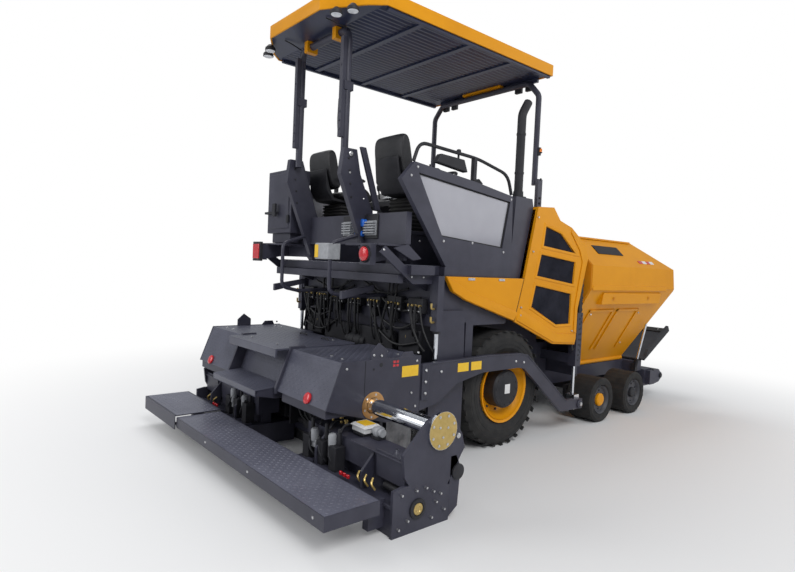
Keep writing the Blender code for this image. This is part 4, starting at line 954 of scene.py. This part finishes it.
# ------------------------------------------------------------------ tow arms and lift rods
def tow_arms():
    for tag, side in SIDES:
        y = side * 1.25
        plates = Piece(f"arm_plates_{tag}", YELLOW, "screed")
        for x in (-0.8, -0.62):
            plates.box(x, x + 0.145, y, y + side * 0.0025, 0.845, 0.925)
        plates.done(0.001)
        edge = Piece(f"arm_flanges_{tag}", DARK, "screed")
        top = ((-1.255, 0.951), (-0.4, 0.971), (0.12, 0.956), (0.245, 0.931), (0.985, 0.371), (1.325, 0.347))
        for (x0, z0), (x1, z1) in zip(top, top[1:]):
            edge.prism(((x0, z0 - 0.014), (x1, z1 - 0.014), (x1, z1 + 0.002), (x0, z0 + 0.002)), "Y", side * 1.206,
                       side * 1.256)
        edge.prism(((-1.25, 0.64), (-1.17, 0.64), (-1.17, 0.96), (-1.25, 0.96)), "Y", y, side * 1.262)
        edge.turn(((1.249, 0.052), (1.262, 0.052), (1.266, 0.045)), "Y", (1.27, 0.29), 24, side)
        edge.done(0.003)
        bolts = Piece(f"arm_bolts_{tag}", BOLT, "screed")
        for x, z in ((-1.21, 0.7), (-1.21, 0.8), (-1.21, 0.9)):
            bolts.bolt(x, side * 1.262, z, "Y", side, 0.014, 0.012)
        for x, z in ((-1.01, 0.87), (0.05, 0.88), (0.18, 0.86)):
            bolts.bolt(x, y, z, "Y", side, 0.013, 0.01)
        bolts.turn(((1.262, 0.022), (1.278, 0.022), (1.282, 0.014)), "Y", (1.27, 0.29), 12, side)
        bolts.done()
        marks = Piece(f"rod_gaiter_{tag}", BLACK)
        marks.turn(((1.195, 0.03), (1.225, 0.036), (1.26, 0.036)), "Z", (-1.01, side * 1.162), 18)
        marks.done()
        elbow = Piece(f"rod_fittings_{tag}", BRASS)
        for z in (1.3, 1.42):
            elbow.pipe([(-1.046, side * 1.162, z), (-1.085, side * 1.162, z), (-1.085, side * 1.162, z + 0.05)],
                       0.01, 8, 0.015)
        elbow.done()
        scale = Piece(f"tow_column_{tag}", BLACK)
        scale.box(1.325, 1.345, side * 1.12, side * 1.18, 0.74, 1.32)
        for k in range(9):
            scale.box(1.255, 1.285, side * 1.2, side * 1.203, 0.78 + 0.06 * k, 0.8 + 0.06 * k)
        scale.done(0.002)


# ------------------------------------------------------------------ screed
RIDGE, SIDE_AT = 0.46, 1.25  # middle ridge plates and the outer faces, across
TUBE_AT = (-1.766, 0.662)  # axis of the guide tubes


def lozenges(piece, origin, along, across, length, width, pitch=0.034):
    """Rows of small raised lozenges, turned alternately, on the flat plate spanned by two directions."""
    along, across = Vector(along).normalized(), Vector(across).normalized()
    normal = along.cross(across)
    if normal.z < 0:
        normal = -normal
    rows, columns = int(length / pitch), int(width / pitch)
    start = Vector(origin) + along * (length - (rows - 1) * pitch) / 2 + across * (width - (columns - 1) * pitch) / 2
    for row in range(rows):
        for column in range(columns):
            centre = start + along * row * pitch + across * column * pitch
            turn = 1 if (row + column) % 2 else -1
            long, wide = (along + across * turn).normalized() * 0.0135, (along - across * turn).normalized() * 0.0048
            foot, top = centre - normal * 0.0004, centre + normal * 0.0016
            ring = [foot - long, foot + wide, foot + long, foot - wide, top - long * 0.5, top + long * 0.5]
            piece.put([M(*p) for p in ring],
                      [(0, 1, 4), (1, 2, 5), (1, 5, 4), (2, 3, 5), (3, 0, 4), (3, 4, 5), (0, 3, 2, 1)])


def treads():
    # The tread colour here is partly the plate's own blue-grey and partly a painted sheen of lit top faces.
    on_screed = Piece("screed_tread", TREAD_SHEEN, "screed", smooth=False)
    for side in (-1, 1):
        y = side * 0.5
        lozenges(on_screed, (-2.205, y, 0.7013), (0.135, 0, 0.355), (0, side, 0), 0.345, 0.73)
        lozenges(on_screed, (-2.07, y, 1.03), (1, 0, 0), (0, side, 0), 0.79, 0.73)
    lozenges(on_screed, (-2.118, -0.44, 0.6807), (0.11, 0, 0.325), (0, 1, 0), 0.25, 0.88)
    lozenges(on_screed, (-2.225, -0.45, 1.0351), (1, 0, 0.012), (0, 1, 0), 0.8, 0.9)
    lozenges(on_screed, (-2.385, -0.42, 0.6908), (1, 0, 0.08), (0, 1, 0), 0.25, 0.84)
    on_screed.done()
    for tag, y0, y1, z in (("r", -2.01, 0.49, 0.285), ("l", 0.515, 1.395, 0.3)):
        # The walkway's tread colour is partly its own and partly a painted sheen of the lit top.
        board = Piece(f"walkway_tread_{tag}", WALK_SHEEN, f"extension_{tag}", smooth=False)
        board.box(-2.704, -2.291, y0 - 0.004, y1 + 0.004, z + 0.0002, z + 0.001)
        lozenges(board, (-2.7, y0, z + 0.001), (1, 0, 0), (0, 1, 0), 0.405, y1 - y0)
        board.done()
    tongue = Piece("walkway_tongue", BLACK, "extension_r")
    tongue.box(-2.69, -2.31, 0.4, 0.62, 0.186, 0.205)
    tongue.done(0.002)


def screed():
    full = ((-2.215, 0.675), (-2.08, 1.03), (-1.262, 1.03), (-1.262, 0.56), (-1.3, 0.56), (-1.3, 0.995),
            (-2.05, 0.995),
            (-2.18, 0.675))
    # The covers' tread colour carries a painted bluish sheen of lit top faces.
    ends = Piece("screed_rear_covers", TREAD_SHEEN, "screed", smooth=False)
    for side in (-1, 1):
        ends.prism(full, "Y", side * (RIDGE + 0.03), side * (SIDE_AT - 0.012))
    ends.done(0.003)
    middle = Piece("screed_middle_cover", TREAD_SHEEN, "screed", smooth=False)
    middle.prism(((-2.125, 0.66), (-2.015, 0.985), (-1.262, 0.985), (-1.262, 0.56), (-1.3, 0.56), (-1.3, 0.955),
                  (-1.99, 0.955),
                  (-2.095, 0.66)), "Y", -RIDGE - 0.03, RIDGE + 0.03)
    # upper lid with its turned-down rear lip, and the lower step
    middle.prism(((-2.225, 0.955), (-2.235, 0.965), (-2.235, 1.035), (-1.4, 1.045), (-1.4, 1.03), (-2.215, 1.018)),
                 "Y",
                 -RIDGE - 0.01, RIDGE + 0.01)
    middle.prism(((-2.385, 0.628), (-2.395, 0.64), (-2.395, 0.69), (-2.12, 0.712), (-2.12, 0.696), (-2.375, 0.675)),
                 "Y",
                 -RIDGE + 0.02, RIDGE - 0.02)
    middle.done(0.003)
    frame = Piece("screed_side_plates", DARK, "screed", smooth=False)
    outline = ((-2.218, 0.672), (-2.083, 1.034), (-1.2615, 1.034), (-1.2615, 0.53), (-1.62, 0.5))
    for side in (-1, 1):
        frame.prism(outline, "Y", side * (SIDE_AT - 0.012), side * SIDE_AT)
        # ridge plates beside the recess
        frame.prism(((-2.232, 0.652), (-2.232, 0.7), (-2.098, 1.05), (-1.95, 1.05), (-1.95, 0.66)), "Y", side * RIDGE,
                    side * (RIDGE + 0.03))
        # outer step gussets
        frame.prism(((-2.39, 0.64), (-2.39, 0.685), (-2.12, 0.705), (-2.12, 0.6), (-2.2, 0.6)), "Y",
                    side * (RIDGE - 0.035),
                    side * (RIDGE - 0.02))
        # ears on top and lower trays
        frame.prism(((-1.8, 1.03), (-1.8, 1.1), (-1.725, 1.165), (-1.64, 1.105), (-1.64, 1.03)), "Y", side * 1.236,
                    side * 1.249)
        frame.prism(((-1.5, 1.03), (-1.46, 1.075), (-1.36, 1.075), (-1.34, 1.03)), "Y", side * 1.238, side * 1.249)
        frame.box(-2.2, -1.66, side * 0.55, side * 1.22, 0.6, 0.672)
        frame.box(-2.195, -1.98, side * 0.6, side * 1.2, 0.655, 0.678)
    frame.box(-2.06, -1.66, -0.5, 0.5, 0.56, 0.66)
    frame.box(-1.652, -1.615, -1.2, 1.2, 0.12, 0.585)
    frame.done(0.003)
    stiff = Piece("screed_inner_frame", BLACK, "screed")
    for y in (-1.08, -0.55, 0.0, 0.55, 1.08):
        stiff.box(-1.8, -1.6, y - 0.012, y + 0.012, 0.215, 0.585)
    for side in (-1, 1):
        stiff.box(-1.75, -1.655, side * 0.18, side * 0.48, 0.22, 0.38)
        stiff.turn(((0.62, 0.09), (0.86, 0.09), (0.88, 0.06)), "Y", (-1.74, 0.34), 20, side)
        stiff.turn(((0.0, 0.03), (1.18, 0.03)), "Y", (-1.69, 0.245), 12, side)
    stiff.done(0.004)
    seam = Piece("screed_seams", BLACK, "screed")
    for side in (-1, 1):
        seam.box(-1.862, -1.856, side * 1.2495, side * 1.2512, 0.6, 1.03)
        for x, z, r in ((-1.7, 0.985, 0.018), (-1.775, 0.955, 0.01)):
            seam.turn(((1.2495, r), (1.2515, r)), "Y", (x, z), 18, side)
    seam.done()
    sticker = Piece("screed_plates", YELLOW, "screed")
    red = Piece("screed_reflectors", RED, "screed")
    slope = Vector((-2.08 + 2.215, 1.03 - 0.675)).normalized()
    for side in (-1, 1):
        sticker.box(-1.475, -1.29, side * 1.25, side * 1.2525, 0.862, 0.955)
        for k, (dx, dz) in enumerate(((0, 0), (0.035, 0), (0, 0.03), (0.035, 0.03))):
            red.box(-1.575 + dx, -1.55 + dx, side * 1.25, side * 1.2525, 0.96 + dz, 0.98 + dz)
        # round reflectors stand square to the slanted rear covers
        centre, normal = Vector((-2.205, side * 0.97, 0.715)), Vector((-slope.y, 0, slope.x))
        across, up = Vector((0, 1, 0)), Vector((slope.x, 0, slope.y))
        rings = []
        for out, radius in ((0.0, 0.046), (0.012, 0.046), (0.018, 0.038), (0.02, 0.018)):
            rings += [M(*(centre + normal * out + (across * math.cos(a) + up * math.sin(a)) * radius))
                      for a in circle(28)]
        faces = [(28 * i + k, 28 * i + (k + 1) % 28, 28 * (i + 1) + (k + 1) % 28,
                  28 * (i + 1) + k) for i in range(3) for k in range(28)]
        red.put(rings, faces + [tuple(range(28)), tuple(range(84, 112))])
    sticker.done(0.001)
    red.done()
    bolts = Piece("screed_bolts", BOLT, "screed")
    for side in (-1, 1):
        for x, z in ((-1.31, 0.99), (-1.31, 0.6), (-1.78, 1.07), (-1.7, 1.06), (-2.04, 0.98), (-1.3, 1.06),
                     (-1.56, 0.6), (-1.36, 0.72)):
            bolts.bolt(x, side * 1.25, z, "Y", side, 0.011, 0.008)
        for x, y in ((-1.98, 0.95), (-1.98, 1.1), (-1.4, 1.1), (-1.4, 0.95)):
            bolts.bolt(x, side * y, 1.03, "Z", 1, 0.012, 0.008)
        for x in (-2.1, -1.5):
            bolts.bolt(x, side * 0.25, 1.04, "Z", 1, 0.012, 0.01)
    bolts.done()
    handles = Piece("lid_handles", BLACK, "screed")
    for y in (-0.2, 0.2):
        handles.pipe([(-1.56, y - 0.06, 1.04), (-1.56, y - 0.06, 1.058), (-1.56, y + 0.06, 1.058),
                      (-1.56, y + 0.06, 1.04)], 0.006, 6, 0.012)
    handles.done()
    collar = Piece("tube_housings", DARK, "screed")
    ring = Piece("tube_flanges", BRONZE, "screed")
    studs = Piece("flange_bolts", BOLT, "screed")
    for side in (-1, 1):
        collar.turn(((1.1, 0.124), (1.249, 0.124), (1.2515, 0.118), (1.2515, 0.078), (1.1, 0.078)), "Y", TUBE_AT, 40,
                    side, True)
        ring.turn(((1.2515, 0.112), (1.255, 0.112), (1.2572, 0.108), (1.2572, 0.0675), (1.2515, 0.0675)), "Y",
                  TUBE_AT, 40, side, True)
        for a in circle(6, 0.3):
            studs.bolt(TUBE_AT[0] + 0.091 * math.cos(a), side * 1.257, TUBE_AT[1] + 0.091 * math.sin(a), "Y", side,
                       0.01, 0.0022)
    collar.done()
    ring.done()
    studs.done()
    cables = Piece("screed_hoses", HOSE, "screed")
    for side in (-1, 1):
        for k in range(3):
            y = side * (0.1 + 0.1 * k)
            cables.pipe([(-1.7, y, 0.58), (-1.79, y + side * 0.03, 0.46), (-1.8, y + side * 0.1, 0.34),
                         (-1.74, y + side * 0.2, 0.27), (-1.67, y + side * 0.24, 0.4)], 0.012, 8, 0.1)
        for k in range(3):
            y = side * (0.62 + 0.17 * k)
            cables.pipe([(-1.68, y, 0.57), (-1.755, y + side * 0.02, 0.46), (-1.76, y + side * 0.06, 0.34),
                         (-1.67, y + side * 0.08, 0.28)],
                        0.01, 8, 0.06)
    cables.done()
    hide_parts("screed_cover")


# ------------------------------------------------------------------ screed extensions
def extensions():
    for tag, side, face in (("r", -1.0, -2.005), ("l", 1.0, 1.38)):
        body = f"extension_{tag}"
        outer = face + side * 0.025
        end = abs(outer)
        into = -side  # towards the middle of the machine
        disc = Piece(f"tube_disc_{tag}", BRASS, body)
        disc.turn(((end + 0.0203, 0.133), (end + 0.0212, 0.132), (end + 0.0213, 0.02)), "Y", TUBE_AT, 48, side)
        disc.done()
        head = Piece(f"disc_bolts_{tag}", BOLT, body)
        for a in circle(8, 0.5):
            head.bolt(TUBE_AT[0] + 0.108 * math.cos(a), outer + side * 0.0212, TUBE_AT[1] + 0.108 * math.sin(a), "Y",
                      side, 0.011, 0.006)
        for a in circle(3, 0.2):
            head.bolt(TUBE_AT[0] + 0.045 * math.cos(a), outer + side * 0.0212, TUBE_AT[1] + 0.045 * math.sin(a), "Y",
                      side, 0.01, 0.006)
        for x, z in ((-2.12, 0.285), (-2.06, 0.1), (-1.99, 0.29), (-1.9, 0.29), (-1.83, 0.25), (-1.8, 0.17),
                     (-1.76, 0.22),
                     (-1.84, 0.07), (-1.72, 0.1), (-2.14, 0.06)):
            head.turn(((end, 0.008), (end + 0.024, 0.008), (end + 0.026, 0.005)), "Y", (x, z), 8, side)
        head.turn(((end - 0.02, 0.02), (end + 0.012, 0.02), (end + 0.016, 0.012)), "Y", (-1.6, 0.6), 12, side)
        head.done()
        hub = Piece(f"end_hub_{tag}", BLACK, body)
        hub.turn(((end, 0.072), (end + 0.012, 0.07), (end + 0.015, 0.062), (end + 0.015, 0.046),
                  (end + 0.006, 0.044)), "Y", (-1.966, 0.157), 36, side)
        hub.turn(((end - 0.02, 0.058), (end + 0.012, 0.058), (end + 0.016, 0.05)), "Y", (-1.585, 0.335), 28, side)
        hub.done()
        core = Piece(f"end_hub_core_{tag}", BRASS, body)
        core.turn(((end + 0.0055, 0.043), (end + 0.013, 0.04), (end + 0.016, 0.022), (end + 0.012, 0.018)), "Y",
                  (-1.966, 0.157), 28, side)
        core.done()
        web = Piece(f"bracket_webs_{tag}", DARK, body, smooth=False)
        # boxed bracket behind the end plate, with its second cheek
        web.box(-2.075, -2.062, min(face, face + into * 0.3), max(face, face + into * 0.3), 0.31, 0.5)
        web.box(-2.09, -1.86, min(face, face + into * 0.6), max(face, face + into * 0.6), 0.4705, 0.482)
        web.prism(((-1.66, 0.02), (-1.57, 0.08), (-1.55, 0.36), (-1.6, 0.46), (-1.66, 0.46)), "Y", face, outer)
        for y in (face + into * 0.35, face + into * 0.95):
            web.prism(((-2.06, 0.3), (-2.06, 0.46), (-2.17, 0.34), (-2.17, 0.2), (-2.06, 0.2)), "Y", y - 0.012,
                      y + 0.012)
        web.box(-2.175, -2.165, min(face, face + into * 1.22), max(face, face + into * 1.22), 0.05, 0.2)
        web.box(-2.19, -2.1, min(face, face + into * 1.2), max(face, face + into * 1.2), 0.195, 0.215)
        web.done(0.003)
        # actuators on the beam: box with a plain lid, motors, levers
        box_y = face + into * 0.66
        pale = Piece(f"junction_box_{tag}", WHITE, body)
        pale.box(-1.975, -1.835, box_y - 0.085, box_y + 0.085, 0.505, 0.565)
        pale.box(-1.985, -1.825, box_y - 0.095, box_y + 0.095, 0.543, 0.556)
        pale.done(0.008)
        lid = Piece(f"junction_lid_{tag}", YELLOW, body)
        lid.box(-1.955, -1.855, box_y - 0.06, box_y + 0.06, 0.565, 0.57)
        lid.done(0.002)
        motor = Piece(f"adjuster_motors_{tag}", GREY, body)
        my = face + into * 0.5
        motor.turn(((my - 0.05, 0.032), (my + 0.05, 0.032), (my + 0.055, 0.024)), "Y", (-1.9, 0.535), 20)
        motor.turn(((my - 0.02, 0.045), (my + 0.02, 0.045)), "Y", (-1.9, 0.535), 20)
        for y, z0, z1 in ((face + into * 0.8, 0.34, 0.46), (face + into * 1.05, 0.36, 0.44)):
            motor.turn(((z0, 0.03), (z1, 0.034), (z1 + 0.02, 0.026)), "Z", (-2.115, y), 18)
            motor.box(-2.13, -2.07, y - 0.035, y + 0.035, z0 - 0.05, z0 + 0.01)
        motor.done(0.003)
        foot = Piece(f"beam_feet_{tag}", BLACK, body)
        foot.box(-1.97, -1.83, box_y - 0.07, box_y + 0.07, 0.482, 0.506)
        foot.box(-1.94, -1.86, my - 0.04, my + 0.04, 0.482, 0.51)
        for y in (face + into * 0.74, face + into * 0.92, face + into * 1.12):
            foot.box(-2.155, -2.065, y - 0.045, y + 0.045, 0.21, 0.4)
            foot.turn(((0.4, 0.016), (0.52, 0.016), (0.53, 0.01)), "Z", (-2.09, y), 10)
        for k in range(3):
            y = face + into * (0.72 + 0.14 * k)
            foot.pipe([(-2.1, y, 0.5), (-2.04, y + into * 0.04, 0.545), (-1.93, y + into * 0.06, 0.535),
                       (-1.88, y + into * 0.05, 0.49)],
                      0.01, 8, 0.05)
            foot.pipe([(-2.12, y, 0.24), (-2.165, y + into * 0.05, 0.3), (-2.13, y + into * 0.1, 0.42)], 0.009, 8,
                      0.05)
        foot.turn(((abs(face) - 0.24, 0.03), (abs(face) - 0.02, 0.03)), "Y", (-2.03, 0.25), 16, side)
        foot.done(0.003)
        spindle = Piece(f"spindles_{tag}", CHROME, body)
        for y in (face + into * 0.1, face + into * 0.2):
            spindle.turn(((0.2, 0.014), (0.5, 0.014)), "Z", (-1.98 + 0.06 * abs(y - face), y), 12)
            spindle.turn(((0.2, 0.014), (0.213, 0.014)), "Z", (-1.78, y), 12)
        spindle.done()
        lever = Piece(f"red_handle_{tag}", RED, body)
        ly = face + into * 0.52
        for k in range(3):
            lever.box(-2.195, -2.178, ly - 0.055 + 0.045 * k, ly - 0.025 + 0.045 * k, 0.245, 0.275)
        lever.done(0.006)
        tap = Piece(f"small_fittings_{tag}", BRASS, body)
        for k in range(4):
            tap.turn(((0.5, 0.011), (0.53, 0.011), (0.535, 0.016), (0.55, 0.016)), "Z",
                     (-1.95 + 0.02 * (k % 2), face + into * (0.86 + 0.09 * k)), 8)
        for k in range(3):
            tap.pipe([(-2.14, face + into * (0.22 + 0.08 * k), 0.24), (-2.165, face + into * (0.24 + 0.08 * k), 0.28),
                      (-2.13, face + into * (0.26 + 0.08 * k), 0.31)], 0.008, 6, 0.02)
        tap.done()
    board = Piece("walkway_bolts_r", BOLT, "extension_r")
    for y in (-1.9, -1.0, -0.2):
        board.bolt(-2.71, y, 0.24, "X", -1, 0.01, 0.006)
    board.done()


# ------------------------------------------------------------------ floor, light, camera
LIGHTS = (  # name, place, aim, power in watts, size in metres
    ("key", (-5.0, -8.5, 9.0), (0.0, 0.0, 1.5), 600, 5.0),
    ("fill", (7.0, -7.0, 5.0), (1.0, 0.0, 1.2), 140, 5.0),
    ("rear", (-10.0, 4.0, 5.0), (-1.0, 0.0, 1.5), 260, 5.0),
    ("top", (0.0, 5.0, 10.0), (0.0, 0.0, 1.0), 360, 6.0),
)


def studio():
    size = 60.0
    mesh = bpy.data.meshes.new("floor")
    mesh.from_pydata([(-size, -size, 0), (size, -size, 0), (size, size, 0), (-size, size, 0)], [], [(0, 1, 2, 3)])
    floor = bpy.data.objects.new("floor", mesh)
    bpy.context.scene.collection.objects.link(floor)
    material, tree, shader = new_material("pale_floor")
    link = tree.links.new
    shader.inputs["Base Color"].default_value = (0.82, 0.82, 0.82, 1)
    shader.inputs["Roughness"].default_value = 0.95
    shader.inputs["Specular IOR Level"].default_value = 0.1
    # away from the machine the floor turns into the plain white background
    where = add(tree, "ShaderNodeTexCoord")
    reach = add(tree, "ShaderNodeVectorMath", operation="LENGTH")
    link(where.outputs["Object"], reach.inputs[0])
    fade = add(tree, "ShaderNodeMapRange", interpolation_type="SMOOTHSTEP")
    fade.inputs["From Min"].default_value, fade.inputs["From Max"].default_value = 2.5, 7.5
    link(reach.outputs["Value"], fade.inputs["Value"])
    path = add(tree, "ShaderNodeLightPath")
    seen = add(tree, "ShaderNodeMath", operation="MULTIPLY")
    link(fade.outputs["Result"], seen.inputs[0])
    link(path.outputs["Is Camera Ray"], seen.inputs[1])
    glow = add(tree, "ShaderNodeEmission")
    mix = add(tree, "ShaderNodeMixShader")
    link(seen.outputs[0], mix.inputs[0])
    link(shader.outputs[0], mix.inputs[1])
    link(glow.outputs[0], mix.inputs[2])
    link(mix.outputs[0], tree.nodes["Material Output"].inputs["Surface"])
    mesh.materials.append(material)
    world = bpy.data.worlds.new("studio")
    bpy.context.scene.world = world
    world.use_nodes = True
    tree = world.node_tree
    tree.nodes.clear()
    link = tree.links.new
    out = add(tree, "ShaderNodeOutputWorld")
    path = add(tree, "ShaderNodeLightPath")
    seen, lit = add(tree, "ShaderNodeBackground"), add(tree, "ShaderNodeBackground")
    seen.inputs["Color"].default_value, seen.inputs["Strength"].default_value = (1, 1, 1, 1), 1.0
    lit.inputs["Color"].default_value, lit.inputs["Strength"].default_value = (0.92, 0.95, 1.0, 1), 0.42
    shown = add(tree, "ShaderNodeMath", operation="MAXIMUM")
    link(path.outputs["Is Camera Ray"], shown.inputs[0])
    link(path.outputs["Is Transmission Ray"], shown.inputs[1])
    mix = add(tree, "ShaderNodeMixShader")
    link(shown.outputs[0], mix.inputs[0])
    link(lit.outputs[0], mix.inputs[1])
    link(seen.outputs[0], mix.inputs[2])
    link(mix.outputs[0], out.inputs[0])
    for name, place, aim, power, size in LIGHTS:
        light = bpy.data.lights.new(name, "AREA")
        light.energy, light.size = power, size
        obj = bpy.data.objects.new(name, light)
        bpy.context.scene.collection.objects.link(obj)
        obj.location = place
        obj.rotation_euler = (Vector(aim) - Vector(place)).to_track_quat("-Z", "Y").to_euler()


def camera():
    yaw, pitch, roll = math.radians(49.593), math.radians(2.167), math.radians(2.585)
    ahead, right, up = Vector((math.cos(yaw), math.sin(yaw), 0)), Vector((math.sin(yaw), -math.cos(yaw),
                                                                          0)), Vector((0, 0, 1))
    ahead2 = math.cos(pitch) * ahead - math.sin(pitch) * up
    up2 = math.sin(pitch) * ahead + math.cos(pitch) * up
    right3 = math.cos(roll) * right + math.sin(roll) * up2
    up3 = -math.sin(roll) * right + math.cos(roll) * up2
    data = bpy.data.cameras.new("camera")
    data.sensor_width, data.lens, data.clip_end = 36.0, 25.41, 200
    obj = bpy.data.objects.new("camera", data)
    bpy.context.scene.collection.objects.link(obj)
    turn = Matrix((right3, up3, -ahead2)).transposed()
    obj.matrix_world = Matrix.Translation(M(-4.545, -4.75, 1.8)) @ turn.to_4x4()
    bpy.context.scene.camera = obj


for build in (canopy, posts, seats, platform, rear_panel, hoses, bodywork, hopper, tow_arms, screed, treads,
              extensions, studio, camera):
    build()
bpy.context.scene.view_settings.view_transform = "Standard"
